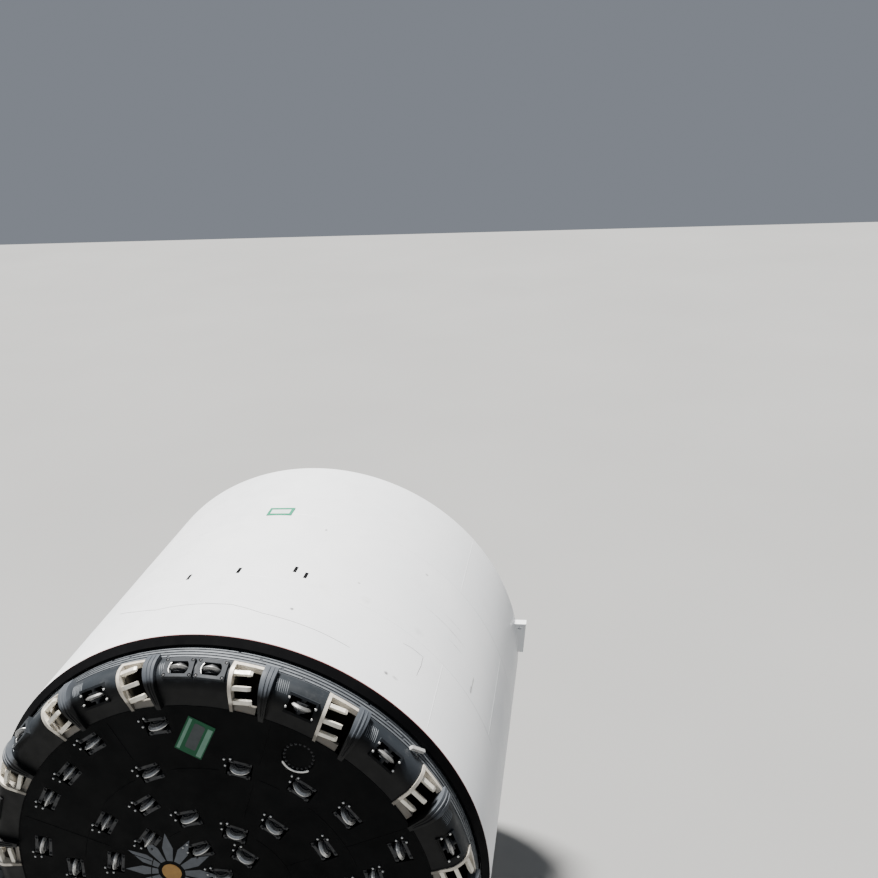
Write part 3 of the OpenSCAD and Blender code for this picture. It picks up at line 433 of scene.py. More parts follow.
def shield_white():
    make = Finish("shield_paint")
    tone = make.patches(WHITE, WHITE_DRIFT, 0.35, 3.0, 0.35, 0.70)
    tone = make.patches(tone, (0.55, 0.53, 0.50), 0.8, 9.0, 0.58, 0.82, 0.35, 0.72)
    scuffs = make.spread(make.clouds(5.0, 9.0, stretch=(1.0, 0.25, 1.0), rough=0.8), 0.70, 0.78, 0.0, 0.6)
    tone = make.blend(scuffs, tone, (0.42, 0.42, 0.42))
    ragged = make.spread(make.clouds(9.0, 6.0), 0.35, 0.60, 0.35, 1.0)
    for back, clock, around, along, strength in STAINS:
        place = skin_place(back, clock).translation
        spot = make.mark(place, math.radians(clock), (around, along, MARK_DEPTH))
        spot = make.spread(make.sums("MULTIPLY", spot, ragged), 0.0, 1.0, 0.0, strength)
        tone = make.blend(spot, tone, (0.045, 0.040, 0.036))
    primer = make.spread(make.axis("Y"), FRONT_Y + PRIMER_EDGE, FRONT_Y + PRIMER_END, 1.0, 0.0)
    tone = make.blend(primer, tone, (0.14, 0.030, 0.028))
    make.bumps(60.0, 2.0, 0.25, 0.001)
    make.bumps(0.9, 3.0, 0.30, 0.010)
    return make.done(tone, make.sheen(1.7, 6.0, 0.40, 0.58))


finishes["shield_paint"] = shield_white()
print("marks on the white", len(STAINS))

# %% [markdown]
# The face is black paint under a film of dust. The castings round it are blue-grey on the rounded shoulder
# and black nearer the axis, where they turn towards the rock and lie flat with the face, along a border that
# wanders. That black is partly black paint and partly painted shade on the side turned from the light.
# Guards and gauge housings have the same coat in tones of their own.

# %% The black face and the castings
COAT_BORDER = ARC_R + 0.21
COAT_END = ARC_R + 0.33


def black_coat(make):
    """The face's black paint as a colour, with a thin film of dust."""
    tone = make.patches((0.0022, 0.0025, 0.0026), (0.0042, 0.0045, 0.0048), 0.6, 3.0, 0.35, 0.70)
    return make.patches(tone, (0.015, 0.015, 0.014), 1.6, 9.0, 0.55, 0.85, 0.22, 0.7)


def face_black():
    make = Finish("face_paint")
    tone = black_coat(make)
    make.bumps(45.0, 4.0, 0.45, 0.0016)
    make.bumps(1.3, 3.0, 0.30, 0.010)
    return make.done(tone, make.sheen(2.6, 7.0, 0.50, 0.72), gloss=0.04)


def casting_coat(name, paint, drift, dust, gloss):
    """Dark blue-grey on the rounded shoulder, black nearer the axis: partly black paint, partly painted
    shade.
    """
    make = Finish(name)
    tone = make.patches(paint, drift, 0.7, 3.0, 0.35, 0.68)
    tone = make.patches(tone, dust, 2.3, 7.0, 0.52, 0.80, 0.30, 0.68)
    # Black nearer the axis stands partly for black paint and partly for painted shade on the face-turned
    # side.
    flat = make.spread(make.radius(1.9, 3.0, 0.09), COAT_BORDER, COAT_END, 1.0, 0.0)
    tone = make.blend(flat, tone, black_coat(make))
    make.bumps(55.0, 3.0, 0.40, 0.0014)
    make.bumps(1.3, 3.0, 0.30, 0.010)
    return make.done(tone, make.sheen(3.1, 6.0, 0.42, 0.64), gloss=gloss)


COATS = {
    # slot: (paint, drift, dust, gloss)
    "casting_paint": ((0.013, 0.016, 0.019), (0.022, 0.026, 0.031), (0.10, 0.10, 0.10), 0.16),
    "guard_paint": ((0.052, 0.059, 0.069), (0.074, 0.082, 0.093), (0.18, 0.18, 0.18), 0.20),
    "housing_paint": ((0.019, 0.022, 0.026), (0.031, 0.035, 0.040), (0.12, 0.12, 0.12), 0.12),
}
finishes["face_paint"] = face_black()
for slot, row in COATS.items():
    finishes[slot] = casting_coat(slot, *row)
print("coats", len(COATS))

# %% [markdown]
# Four finishes are left. The lips are flame-cut cream steel, duller on the sill beside the face. The belt is
# black rubber with stone dust on top. Signs and painted decorations are flat paint in two close tones. The
# decks are chequer plate, whose crossed rows of raised lozenges come from two sine waves.

# %% Lips, belt, signs and decks
SILL_BORDER = PLATE_R + 0.17
SILL_END = PLATE_R + 0.25
LOZENGE_WAVES = 120.0


def lip_steel():
    """Flame-cut cream steel on the lips, duller and browner on the sill beside the flat face."""
    make = Finish("lip_steel")
    tone = make.patches((0.62, 0.58, 0.50), (0.44, 0.40, 0.34), 4.0, 6.0, 0.35, 0.70)
    sill = make.spread(make.radius(5.0, 4.0, 0.06), SILL_BORDER, SILL_END, 1.0, 0.0)
    tone = make.blend(sill, tone, (0.150, 0.138, 0.118))
    tone = make.patches(tone, (0.26, 0.17, 0.11), 7.0, 8.0, 0.55, 0.80, 0.65, 0.7)
    make.bumps(160.0, 3.0, 0.35, 0.0012)
    make.bumps(14.0, 4.0, 0.45, 0.006)
    return make.done(tone, make.sheen(12.0, 5.0, 0.40, 0.62, 0.7), 0.25)


def plain_coat(name, first, second, drift, grain, roughness=0.45, gloss=0.35):
    """Two close tones and a fine grain. Drift holds the numbers for patches, and grain those for bumps."""
    make = Finish(name)
    tone = make.patches(first, second, *drift)
    make.bumps(*grain)
    return make.done(tone, roughness, gloss=gloss)


def flat_paint(name, first, second):
    return plain_coat(name, first, second, (5.0, 6.0, 0.35, 0.70), (90.0, 2.0, 0.2, 0.0006))


def chequer_steel():
    """Galvanized floor plate with crossed rows of raised lozenges."""
    make = Finish("deck_steel")
    tone = make.patches((0.33, 0.34, 0.34), (0.25, 0.26, 0.26), 1.2, 5.0, 0.35, 0.70)
    tone = make.patches(tone, (0.17, 0.14, 0.11), 3.0, 8.0, 0.55, 0.80, 0.5, 0.7)
    slants = [make.sums(kind, make.axis("X"), make.axis("Y")) for kind in ("ADD", "SUBTRACT")]
    waves = [make.sums("SINE", make.sums("MULTIPLY", slant, LOZENGE_WAVES)) for slant in slants]
    make.relief(make.spread(make.sums("MULTIPLY", *waves), 0.35, 0.60), 0.5, 0.0025)
    return make.done(tone, make.sheen(5.0, 5.0, 0.36, 0.56, 0.7), 0.6)


finishes["lip_steel"] = lip_steel()
finishes["belt_rubber"] = plain_coat("belt_rubber", (0.016, 0.016, 0.017), (0.060, 0.055, 0.050),
                                     (1.5, 8.0, 0.40, 0.75), (120.0, 3.0, 0.5, 0.0015), 0.72, 0.5)
finishes["sign_paint"] = plain_coat("sign_paint", (0.003, 0.064, 0.025), (0.006, 0.080, 0.033),
                                    (3.0, 4.0, 0.35, 0.70), (80.0, 2.0, 0.2, 0.0006), gloss=0.15)
finishes["deck_steel"] = chequer_steel()
print("finishes", len(finishes))

# %% [markdown]
# The floor gets a pale matt grey. Every solid then takes the finish that its slot names. The gauge cutters'
# rings and housings are darker than the slots they share, so those two are set by hand.

# %% Dress the floor and the solids
floor_finish = Finish("pale_floor")
floor_tone = floor_finish.patches((0.22, 0.22, 0.215), (0.24, 0.24, 0.235), 0.05, 3.0, 0.3, 0.7)
floor.data.materials.append(floor_finish.done(floor_tone, 0.85))
for row in frame["record"]["subparts"]:
    solid = frame["nodes"][row["node"]]
    solid.data.materials.clear()
    solid.data.materials.append(finishes[row["material_slot"]])
frame["nodes"]["gauge_rings"].data.materials[0] = finishes["gauge_steel"]
frame["nodes"]["gauge_housings"].data.materials[0] = finishes["housing_paint"]

# %% [markdown]
# Small things are placed by the solids that carry them. This helper walks over a node's mesh and returns its
# separate solids, in order of clock angle, so that a bolt circle or a bead always follows its own casting.

# %% Find the separate solids of a node
SAME_CORNER = 0.0001


def middle(part):
    return Vector([(min(p[i] for p in part) + max(p[i] for p in part)) / 2 for i in range(3)])


def by_clock(part):
    centre = middle(part)
    return round(clock_of(centre), 2), round(radius_of(centre), 3)


def loose_parts(node):
    """The corners of each separate solid of a node, sorted by the clock angle of its middle."""
    merged = bmesh.new()
    merged.from_mesh(frame["nodes"][node].data)
    bmesh.ops.remove_doubles(merged, verts=merged.verts, dist=SAME_CORNER)
    seen = set()
    parts = []
    for first in merged.verts:
        if first.index in seen:
            continue
        seen.add(first.index)
        fringe = [first]
        part = []
        while fringe:
            corner = fringe.pop()
            part.append(corner.co.copy())
            for edge in corner.link_edges:
                other = edge.other_vert(corner)
                if other.index not in seen:
                    seen.add(other.index)
                    fringe.append(other)
        parts.append(part)
    merged.free()
    return sorted(parts, key=by_clock)


disc_middles = [middle(part) for part in loose_parts("disc_rings")]
manholes = [middle(part) for part in loose_parts("manhole_covers")]
print("face discs", len(disc_middles), "manholes", len(manholes))

# %% [markdown]
# A piece is a mesh with a name, a body that it rides on and a finish. Hundreds of bolts would be slow to make
# one by one, so a pattern is modelled once and copied to many places in one mesh.

# %% Helpers for added pieces
SHARP_DEG = 38


def add_piece(name, mesh, body, slot_name, smooth=True, finish=None):
    """Puts a finished bmesh into the scene as one piece that rides on a body."""
    bmesh.ops.recalc_face_normals(mesh, faces=mesh.faces)
    data = bpy.data.meshes.new(name)
    mesh.to_mesh(data)
    mesh.free()
    for face in data.polygons:
        face.use_smooth = smooth
    data.materials.append(finish or finishes[slot_name])
    piece = bpy.data.objects.new(name, data)
    bpy.context.scene.collection.objects.link(piece)
    if smooth:
        data.set_sharp_from_angle(angle=math.radians(SHARP_DEG))
    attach(piece, body)
    return piece


def copies(pattern, places):
    """One bmesh with the pattern at every place. The pattern is a bmesh and is freed."""
    corners = [corner.co.copy() for corner in pattern.verts]
    faces = [[corner.index for corner in face.verts] for face in pattern.faces]
    pattern.free()
    all_corners = []
    all_faces = []
    for place in places:
        start = len(all_corners)
        all_corners.extend(place @ corner for corner in corners)
        all_faces.extend([start + i for i in face] for face in faces)
    data = bpy.data.meshes.new("copies")
    data.from_pydata(all_corners, [], all_faces)
    result = bmesh.new()
    result.from_mesh(data)
    bpy.data.meshes.remove(data)
    return result


def disc(mesh, radius, low, high, sides, top=None):
    """A closed cylinder or cone from low to high on the mesh's Z."""
    made = bmesh.ops.create_cone(mesh, cap_ends=True, segments=sides, radius1=radius,
                                 radius2=radius if top is None else top, depth=high - low)
    bmesh.ops.translate(mesh, verts=made["verts"], vec=(0.0, 0.0, (low + high) / 2))


def block(mesh, low, high, place=None):
    """A box between two corners, which may be those of a place's own frame."""
    made = bmesh.ops.create_cube(mesh, size=1.0)["verts"]
    bmesh.ops.scale(mesh, verts=made, vec=Vector(high) - Vector(low))
    bmesh.ops.translate(mesh, verts=made, vec=(Vector(low) + Vector(high)) / 2)
    if place is not None:
        bmesh.ops.transform(mesh, matrix=place, verts=made)
    return made


def turned_ring(mesh, place, profile, steps, closed=False):
    """Spins a row of (radius, height) corners right round a place's Z; a closed row joins its two ends."""
    row = [mesh.verts.new(place @ Vector((radius, 0.0, height))) for radius, height in profile]
    ends = row[1:] + row[:1] if closed else row[1:]
    edges = [mesh.edges.new(pair) for pair in zip(row, ends)]
    bmesh.ops.spin(mesh, geom=row + edges, cent=place.translation, axis=facing(place, AHEAD),
                   angle=math.tau, steps=steps, use_merge=True)


print("piece helpers are ready")

# %% [markdown]
# Every bolt has a chamfered hexagon head, and most sit on a washer. The size across the flats sets the rest.
# Bolts come in rows and circles, so spots are worked out on a place's own plane, or round the bore's axis.

# %% Helpers for bolts
def hex_bolt(flats, washer=True):
    """A hexagon head with its chamfered top on a washer; its seat is at Z = 0."""
    mesh = bmesh.new()
    head = flats / math.sqrt(3)
    if washer:
        disc(mesh, flats * 0.82, -0.004, flats * 0.14, 20)
    disc(mesh, head, -0.002, flats * 0.58, 6)
    disc(mesh, head * 0.86, flats * 0.575, flats * 0.68, 12, head * 0.70)
    return mesh


def add_bolts(name, flats, places, body, slot_name="roller_steel", washer=True):
    add_piece(name, copies(hex_bolt(flats, washer), places), body, slot_name)


def circle_spots(radius, count, shift=0.0):
    """Spots evenly round a circle; shift is a share of the step between them."""
    turns = [math.tau * (i + shift) / count for i in range(count)]
    return [(radius * math.cos(turn), radius * math.sin(turn)) for turn in turns]


def places_at(place, spots, lift=0.0, turn=Matrix.Identity(4)):
    """A place for each spot (x, y) of a place's own plane, raised by lift along its Z."""
    return [place @ Matrix.Translation((x, y, lift)) @ turn for x, y in spots]


def bolt_circle(radius, count, ahead, turn=HEAD_BACK):
    """Places of bolts round the bore's axis, with their heads to the rear unless turn says otherwise."""
    return [bore_place(360.0 * (i + 0.5) / count, radius, ahead) @ turn for i in range(count)]


print("bolt helpers are ready")

# %% [markdown]
# A weld bead is a low half-round tube laid along a line of points, with each point's outward direction. It is
# always sunk a little into the plate, as a real bead is fused to it, and it grows thin at both ends.

# %% Helpers for weld beads
END_SWELL = 0.55
RING_POINTS = 241


def bead(mesh, points, outward, width, height, sides=6):
    """A half-round bead along the points; outward is one direction or a list of them."""
    rings = []
    last = len(points) - 1
    for i, point in enumerate(points):
        normal = outward[i] if isinstance(outward, list) else outward
        along = points[min(i + 1, last)] - points[max(i - 1, 0)]
        side = along.cross(normal).normalized()
        swell = END_SWELL if i in (0, last) else 1.0
        ring = []
        for k in range(sides):
            turn = math.tau * k / sides
            ring.append(mesh.verts.new(point + side * math.cos(turn) * width / 2 * swell
                                       + normal * math.sin(turn) * height * swell))
        rings.append(ring)
    for first, second in zip(rings, rings[1:]):
        for k in range(sides):
            mesh.faces.new((first[k], first[(k + 1) % sides], second[(k + 1) % sides], second[k]))
    mesh.faces.new(rings[0][::-1])
    mesh.faces.new(rings[-1])


def bead_through(mesh, places, direction, width, height):
    """A bead through a row of places, which stands up along one direction of their own frames."""
    bead(mesh, [place.translation.copy() for place in places],
         [facing(place, direction) for place in places], width, height)


def ring_bead(mesh, radius, ahead, direction, width, height):
    """A bead right round the bore's axis."""
    clocks = [360.0 * i / (RING_POINTS - 1) for i in range(RING_POINTS)]
    bead_through(mesh, [bore_place(clock, radius, ahead) for clock in clocks], direction, width, height)


print("bead helpers are ready")

# %% [markdown]
# Each disc is held in its saddles by clamp bolts. Four dark ones sit on the saddles' fronts. Three more are
# on the plate at one end of the window, where the wedge that locks the shaft is driven home. Their heads are
# bare and bright, which is what makes the small bright dots beside each disc.

# %% Bolts of the face cutters
SADDLE_SPOTS = [(x, y) for x in (0.175, -0.175) for y in (0.195, -0.195)]
WEDGE_SPOTS = [(0.20, 0.37), (0.25, 0.23), (0.04, 0.325)]
saddle_lift = front_of("cutter_saddles") - FACE_AHEAD
saddle_places = []
wedge_places = []
for centre in disc_middles:
    place = place_over(centre, FACE_AHEAD)
    saddle_places += places_at(place, SADDLE_SPOTS, saddle_lift)
    wedge_places += places_at(place, WEDGE_SPOTS)
add_bolts("saddle_bolts", 0.050, saddle_places, "cutterhead", "hub_steel")
add_bolts("wedge_bolts", 0.048, wedge_places, "cutterhead", washer=False)
print("bolts on the face", len(saddle_places) + len(wedge_places))

# %% [markdown]
# The gauge cutters sit in frames on the shoulder. Each frame is bolted at its corners in round recesses; the
# flush ones have a pair of bright bolts at each end. Those that stand proud get a bright steel bead along one
# side of the cutter's opening, partly wear and partly a painted highlight on the wall that faces the light.
# A frame's tilt isn't written down anywhere, so it is found by turning a box until it fits the frame's
# corners best.

# %% Bolts of the gauge cutters
GAUGE_RISE = 0.04
GAUGE_RECESS = 0.03
GAUGE_WIDEST = 0.5
GAUGE_WEAR_HIGHLIGHT_R = 0.224
GAUGE_WEAR_HIGHLIGHT_ARC = [math.radians(54.0 + 6.0 * i) for i in range(13)]
CORNER_SPOTS = [(x, y) for x in (-0.185, 0.185) for y in (-0.290, 0.290)]
END_SPOTS = [(-0.10, 0.310), (0.11, 0.310), (-0.14, -0.308), (0.08, -0.310)]


def gauge_frame(part):
    """Place of one frame: Z along its outward normal and X across it. None for what is too wide to be one."""
    clock = clock_of(middle(part))
    local = bore_place(clock, 0.0).inverted()
    flat = [local @ p for p in part]
    best = None
    for tilt in range(0, 91):
        turn = math.radians(tilt)
        reach = [p.x * math.cos(turn) + p.z * math.sin(turn) for p in flat]
        along = [-p.x * math.sin(turn) + p.z * math.cos(turn) for p in flat]
        area = (max(reach) - min(reach)) * (max(along) - min(along))
        if best is None or area < best[0] - 1e-6:
            best = (area, turn, max(reach), (max(along) + min(along)) / 2, max(along) - min(along))
    turn, top, across, width = best[1:]
    if width > GAUGE_WIDEST:
        return None
    x = top * math.cos(turn) - across * math.sin(turn)
    z = top * math.sin(turn) + across * math.cos(turn)
    return (bore_place(clock, 0.0) @ Matrix.Translation((x, 0.0, z))
            @ Matrix.Rotation(math.radians(90) - turn, 4, "Y"))


corner_places = []
end_places = []
gauge_wear_and_highlight = bmesh.new()
for place in map(gauge_frame, loose_parts("gauge_housings")):
    if place is None:
        continue
    top = place.translation
    rise = math.hypot(radius_of(top) - ARC_R, FRONT_Y - top.y - (FACE_AHEAD - SHOULDER_R)) - SHOULDER_R
    if rise > GAUGE_RISE / 2:
        corner_places += places_at(place, CORNER_SPOTS, -GAUGE_RECESS)
        # A bright steel bead on one side of the opening: partly wear, partly a painted highlight.
        worn_and_lit = [(GAUGE_WEAR_HIGHLIGHT_R * math.cos(a), GAUGE_WEAR_HIGHLIGHT_R * math.sin(a)) for a in GAUGE_WEAR_HIGHLIGHT_ARC]
        bead_through(gauge_wear_and_highlight, places_at(place, worn_and_lit, -0.018), AHEAD, 0.030, 0.020)
    else:
        end_places += places_at(place, END_SPOTS)
add_piece("gauge_wear_and_highlight", gauge_wear_and_highlight, "cutterhead", "bare_steel")
add_bolts("gauge_corner_bolts", 0.046, corner_places, "cutterhead", "hub_steel", washer=False)
add_bolts("gauge_end_bolts", 0.045, end_places, "cutterhead", "bare_steel", washer=False)
print("gauge bolts", len(corner_places) + len(end_places))

# %% [markdown]
# The manholes are closed by a plate in a machined seat, held by a ring of bolts. Along part of the seat's
# edge lies a bright steel bead, partly wear and partly a painted highlight where the edge catches the light.

# %% Manholes
SEAT_R = 0.392
COVER_DEPTH = 0.040
COVER_BOLTS_R = 0.330
# A bright bead on one arc of each seat's edge: partly wear, partly a painted highlight.
SEAT_WEAR_HIGHLIGHT_ARC = [math.radians(137.0 + 103.0 * i / 24) for i in range(25)]
seat_spots = [(SEAT_R * math.cos(turn), SEAT_R * math.sin(turn)) for turn in SEAT_WEAR_HIGHLIGHT_ARC]
manhole_wear_highlight = bmesh.new()
cover_places = []
for centre in manholes:
    place = place_over(centre, FACE_AHEAD)
    bead_through(manhole_wear_highlight, places_at(place, seat_spots), AHEAD, 0.050, 0.012)
    cover_places += places_at(place, circle_spots(COVER_BOLTS_R, 20), -COVER_DEPTH)
add_piece("manhole_wear_highlight", manhole_wear_highlight, "cutterhead", "bare_steel")
add_bolts("manhole_bolts", 0.036, cover_places, "cutterhead", "hub_steel")
print("manholes", len(manholes))

# %% [markdown]
# The face is made of plates welded together. The seams run out from the middle and round it, and they stop
# short of the cutters' windows. Points of a seam that fall on a window are dropped, and each run that is left
# becomes one bead.

# %% Weld seams on the face
WINDOW_REACH = 0.46
INNER_SEAM_R = 1.75
OUTER_SEAM_R = 3.38
FEWEST_POINTS = 5


def clear_of_windows(point):
    openings = disc_middles + manholes
    return all(math.hypot(point.x - other.x, point.z - other.z) >= WINDOW_REACH for other in openings)


def seam_runs(mesh, places):
    """Beads along the stretches of a seam that lie clear of the windows."""
    run = []
    for place in places + [None]:
        if place is not None and clear_of_windows(place.translation):
            run.append(place.translation.copy())
            continue
        if len(run) >= FEWEST_POINTS:
            bead(mesh, run, TO_ROCK, 0.028, 0.008)
        run = []


face_seams = bmesh.new()
for clock in range(20, 380, 45):
    seam_runs(face_seams, [bore_place(clock, INNER_SEAM_R + 0.06 * i, FACE_AHEAD) for i in range(54)])
for radius in (INNER_SEAM_R, OUTER_SEAM_R):
    seam_runs(face_seams, [bore_place(i * 1.2, radius, FACE_AHEAD) for i in range(301)])
add_piece("face_seams", face_seams, "cutterhead", "face_paint")
edge_seam = bmesh.new()
ring_bead(edge_seam, PLATE_R, FACE_AHEAD, AHEAD, 0.034, 0.010)
add_piece("face_edge_seam", edge_seam, "cutterhead", "face_paint")
print("face seams are laid")

# %% [markdown]
# Wear on the shoulder is met with hard-facing: short slanted weld beads laid side by side on the castings
# just behind each guard, where the rock rubs hardest. The guards' places are read from their own solids.

# %% Hard-facing beads on the castings
HARD_BEADS = 7
HARD_FIRST_DEG = 0.35
HARD_STEP_DEG = 0.42
NEAR_RIM = 0.25
guard_parts = loose_parts("bucket_guards")
hard_facing = bmesh.new()
for part in guard_parts:
    centre = clock_of(middle(part))
    rim_side = [clock_of(p) for p in part if abs(radius_of(p) - RIM_R) < NEAR_RIM]
    behind = centre + max(turn_between(centre, clock) for clock in rim_side)
    for k in range(HARD_BEADS):
        clock = behind + HARD_FIRST_DEG + HARD_STEP_DEG * k
        places = [shoulder_place(clock + 0.10 * i, 2.0 + 8.5 * i) for i in range(6)]
        bead_through(hard_facing, places, AHEAD, 0.020, 0.009)
add_piece("hard_facing", hard_facing, "cutterhead", "wear_steel")
print("guards", len(guard_parts))

# %% [markdown]
# The sign on the face is a thin green board. Its pale bands and panel are separate thin plates here, laid in
# the board's own plane and left blank.

# %% The sign on the face
BAND_BOXES = [(-0.44, -0.33, -0.46, 0.46), (0.28, 0.46, -0.46, 0.40)]
PANEL_BOX = (-0.20, 0.19, -0.34, 0.40)
PANEL_CORNER = 0.045
PLATE_SUNK = 0.001


def board_frame(node):
    """Place of a flat rectangular board, with Z off its front and Y along its longer side, and its sides."""
    part = loose_parts(node)[0]
    centre = middle(part)
    front = min(p.y for p in part)
    corners = sorted({(round(p.x, 4), round(p.z, 4)) for p in part if p.y < front + 0.001})
    first = Vector(corners[0])
    others = sorted((Vector(c) - first for c in corners[1:]), key=lambda v: v.length)
    short_side, long_side = others[0], others[1]
    y_dir = Vector((long_side.x, 0.0, long_side.y)).normalized()
    if y_dir.z < 0.0:
        y_dir = -y_dir
    turn = Matrix((y_dir.cross(TO_ROCK), y_dir, TO_ROCK)).transposed().to_4x4()
    return Matrix.Translation((centre.x, front, centre.z)) @ turn, short_side.length, long_side.length


face_board, board_w, board_h = board_frame("face_sign")


def board_plate(mesh, box, proud):
    """A thin plate on the board; its box is left, right, low and high as shares of the board's sides."""
    left, right_side, low, high = box
    block(mesh, (left * board_w, low * board_h, -PLATE_SUNK), (right_side * board_w, high * board_h, proud))


pale_green = flat_paint("pale_green", (0.085, 0.200, 0.140), (0.110, 0.235, 0.170))
pale_panel = flat_paint("pale_panel", (0.018, 0.026, 0.028), (0.030, 0.040, 0.043))
bands = bmesh.new()
for box in BAND_BOXES:
    board_plate(bands, box, 0.002)
bmesh.ops.transform(bands, matrix=face_board, verts=bands.verts)
add_piece("sign_bands", bands, "cutterhead", "sign_paint", smooth=False, finish=pale_green)
panel = bmesh.new()
board_plate(panel, PANEL_BOX, 0.003)
uprights = [e for e in panel.edges if abs(e.verts[0].co.z - e.verts[1].co.z) > 0.002]
bmesh.ops.bevel(panel, geom=uprights, offset=PANEL_CORNER, segments=4, profile=0.5,
                affect="EDGES", material=-1)
bmesh.ops.transform(panel, matrix=face_board, verts=panel.verts)
add_piece("sign_panel", panel, "cutterhead", "sign_paint", smooth=False, finish=pale_panel)
print("board", round(board_w, 2), "by", round(board_h, 2))

# %% [markdown]
# The middle of the face has a plain decoration: twelve flat painted wedges about an ochre disc. Each is a
# thin plate with its foot sunk a hair into the face, so that nothing flickers where the two surfaces meet.

# %% The painted decoration
EMBLEM_X = -1.217
EMBLEM_Z = 0.315
WEDGES = 12
WEDGE_IN = 0.34
WEDGE_OUT = 1.15
WEDGE_DEG = 24.0
WEDGE_T = 0.004
BELLY = 0.62
BELLY_WIDTH = 0.9
DISC_R = 0.24
DISC_T = 0.008
emblem_place = Matrix.Translation((EMBLEM_X, FACE_Y, AXIS_H + EMBLEM_Z)) @ UPRIGHT


def wedge_plate():
    """A flat pointed plate along X, widest at its belly."""
    mesh = bmesh.new()
    half = math.radians(WEDGE_DEG / 2)
    foot = (WEDGE_IN * math.cos(half), WEDGE_IN * math.sin(half))
    belly = (BELLY * WEDGE_OUT, BELLY * WEDGE_OUT * math.sin(half) * BELLY_WIDTH)
    outline = [(foot[0], -foot[1]), (belly[0], -belly[1]), (WEDGE_OUT, 0.0), belly, foot]
    face = mesh.faces.new([mesh.verts.new((x, y, -PLATE_SUNK)) for x, y in outline])
    raised = bmesh.ops.extrude_face_region(mesh, geom=[face])["geom"]
    corners = [v for v in raised if isinstance(v, bmesh.types.BMVert)]
    bmesh.ops.translate(mesh, verts=corners, vec=(0.0, 0.0, WEDGE_T))
    return mesh


emblem_grey = flat_paint("emblem_grey", (0.050, 0.058, 0.070), (0.075, 0.085, 0.100))
emblem_ochre = flat_paint("emblem_ochre", (0.26, 0.13, 0.020), (0.34, 0.18, 0.030))
wedge_turns = [emblem_place @ Matrix.Rotation(math.tau * i / WEDGES, 4, "Z") for i in range(WEDGES)]
add_piece("emblem_wedges", copies(wedge_plate(), wedge_turns), "cutterhead", "guard_paint",
          smooth=False, finish=emblem_grey)
hub = bmesh.new()
disc(hub, DISC_R, -PLATE_SUNK, DISC_T, 40)
bmesh.ops.transform(hub, matrix=emblem_place, verts=hub.verts)
add_piece("emblem_disc", hub, "cutterhead", "cylinder_paint", finish=emblem_ochre)
print("wedges", WEDGES)

# %% [markdown]
# The skin is rolled from plates, and its joints show as low ring beads under the white paint. One seam near
# the front wanders, because it was closed on site, and it is still grey. So is a short angled mark further
# round.

# %% The shield's seams and marks
PLATE_EDGES = (-38.0, 52.0, 142.0, 232.0)
MIDDLE_SHIFT_DEG = 22.0
FIRST_SEAM = 0.18
# Corners of the grey marks: clock angle and distance behind the front edge
SITE_SEAM = [(-31.0, 2.11), (-24.0, 1.68), (-17.0, 1.38), (-8.0, 1.35),
             (1.6, 1.31), (9.0, 1.10), (22.0, 1.00), (30.0, 0.91)]
ANGLED_MARK = [(40.4, 2.20), (42.8, 2.27), (46.2, 2.28), (46.3, 1.92), (46.0, 1.63), (45.8, 1.29)]
MARK_STEP_DEG = 0.6

front_len = -front_of("middle_skin")
rear_len = -front_of("tail_skin")
skin_seams = bmesh.new()
for back in (front_len, rear_len):
    ring_bead(skin_seams, skin_radius(back), -back, OUT, 0.034, 0.005)
for clock in PLATE_EDGES:
    for start, end, shift in ((FIRST_SEAM, front_len, 0.0), (front_len, rear_len, MIDDLE_SHIFT_DEG),
                              (rear_len, SHIELD_LEN, 0.0)):
        places = [skin_place(start + (end - start) * i / 12, clock + shift) for i in range(13)]
        bead_through(skin_seams, places, OUT, 0.028, 0.004)
add_piece("skin_seams", skin_seams, "shield", "shield_paint")


def skin_line(mesh, corners, width, height):
    """A bead on the skin that runs straight from corner to corner."""
    places = []
    for (clock, back), (next_clock, next_back) in zip(corners, corners[1:]):
        count = max(2, int(abs(next_clock - clock) / MARK_STEP_DEG))
        for i in range(count):
            share = i / count
            places.append(skin_place(back + (next_back - back) * share, clock + (next_clock - clock) * share))
    bead_through(mesh, places, OUT, width, height)


seam_grey = painted_steel("seam_grey", (0.17, 0.17, 0.17), (0.24, 0.24, 0.24), (0.40, 0.40, 0.40),
                          0.6, gloss=0.1)
site_marks = bmesh.new()
skin_line(site_marks, SITE_SEAM, 0.018, 0.003)
skin_line(site_marks, ANGLED_MARK, 0.016, 0.003)
add_piece("site_marks", site_marks, "shield", "shield_paint", finish=seam_grey)
print("plate seams", 3 * len(PLATE_EDGES))

# %% [markdown]
# The slots in the skin get dark plates a little below the surface, which are painted shade in the recesses.
# The board on the crown has a pale blank panel on it, which leaves a green border.

# %% Painted shade in the slots, and the crown's board
SLOTS = [(2.85, -14.5), (2.93, -2.1), (3.24, 10.7), (3.07, 13.6)]
SLOT_HALF_W = 0.0445
SLOT_HALF_L = 0.1395
# Dark plates in the slots are painted shade in the recesses, in the front edge's near-black finish.
slot_shade_plates = bmesh.new()
for back, clock in SLOTS:
    block(slot_shade_plates, (-0.029, -SLOT_HALF_W, -SLOT_HALF_L), (-0.010, SLOT_HALF_W, SLOT_HALF_L),
          skin_place(back, clock))
add_piece("port_painted_shade", slot_shade_plates, "shield", "edge_paint", smooth=False)

crown_pale = flat_paint("crown_pale", (0.60, 0.66, 0.64), (0.68, 0.74, 0.72))
crown_green = flat_paint("crown_green", (0.003, 0.190, 0.100), (0.005, 0.220, 0.120))
crown_board = skin_place(6.31, -1.6)
crown_panel = bmesh.new()
block(crown_panel, (0.0085, -0.275, -0.115), (0.0115, 0.275, 0.130), crown_board)
add_piece("crown_panel", crown_panel, "shield", "sign_paint", smooth=False, finish=crown_pale)
frame["nodes"]["shield_sign"].data.materials[0] = crown_green
print("slots", len(SLOTS))

# %% [markdown]
# The guards beside the mouths are cast with generous radii and two folds along their backs, where the sand
# mould was rammed round a ribbed pattern. Rounding the solid itself keeps its exact path over the shoulder:
# its triangles are merged into whole faces first, and then every sharp edge is bevelled.

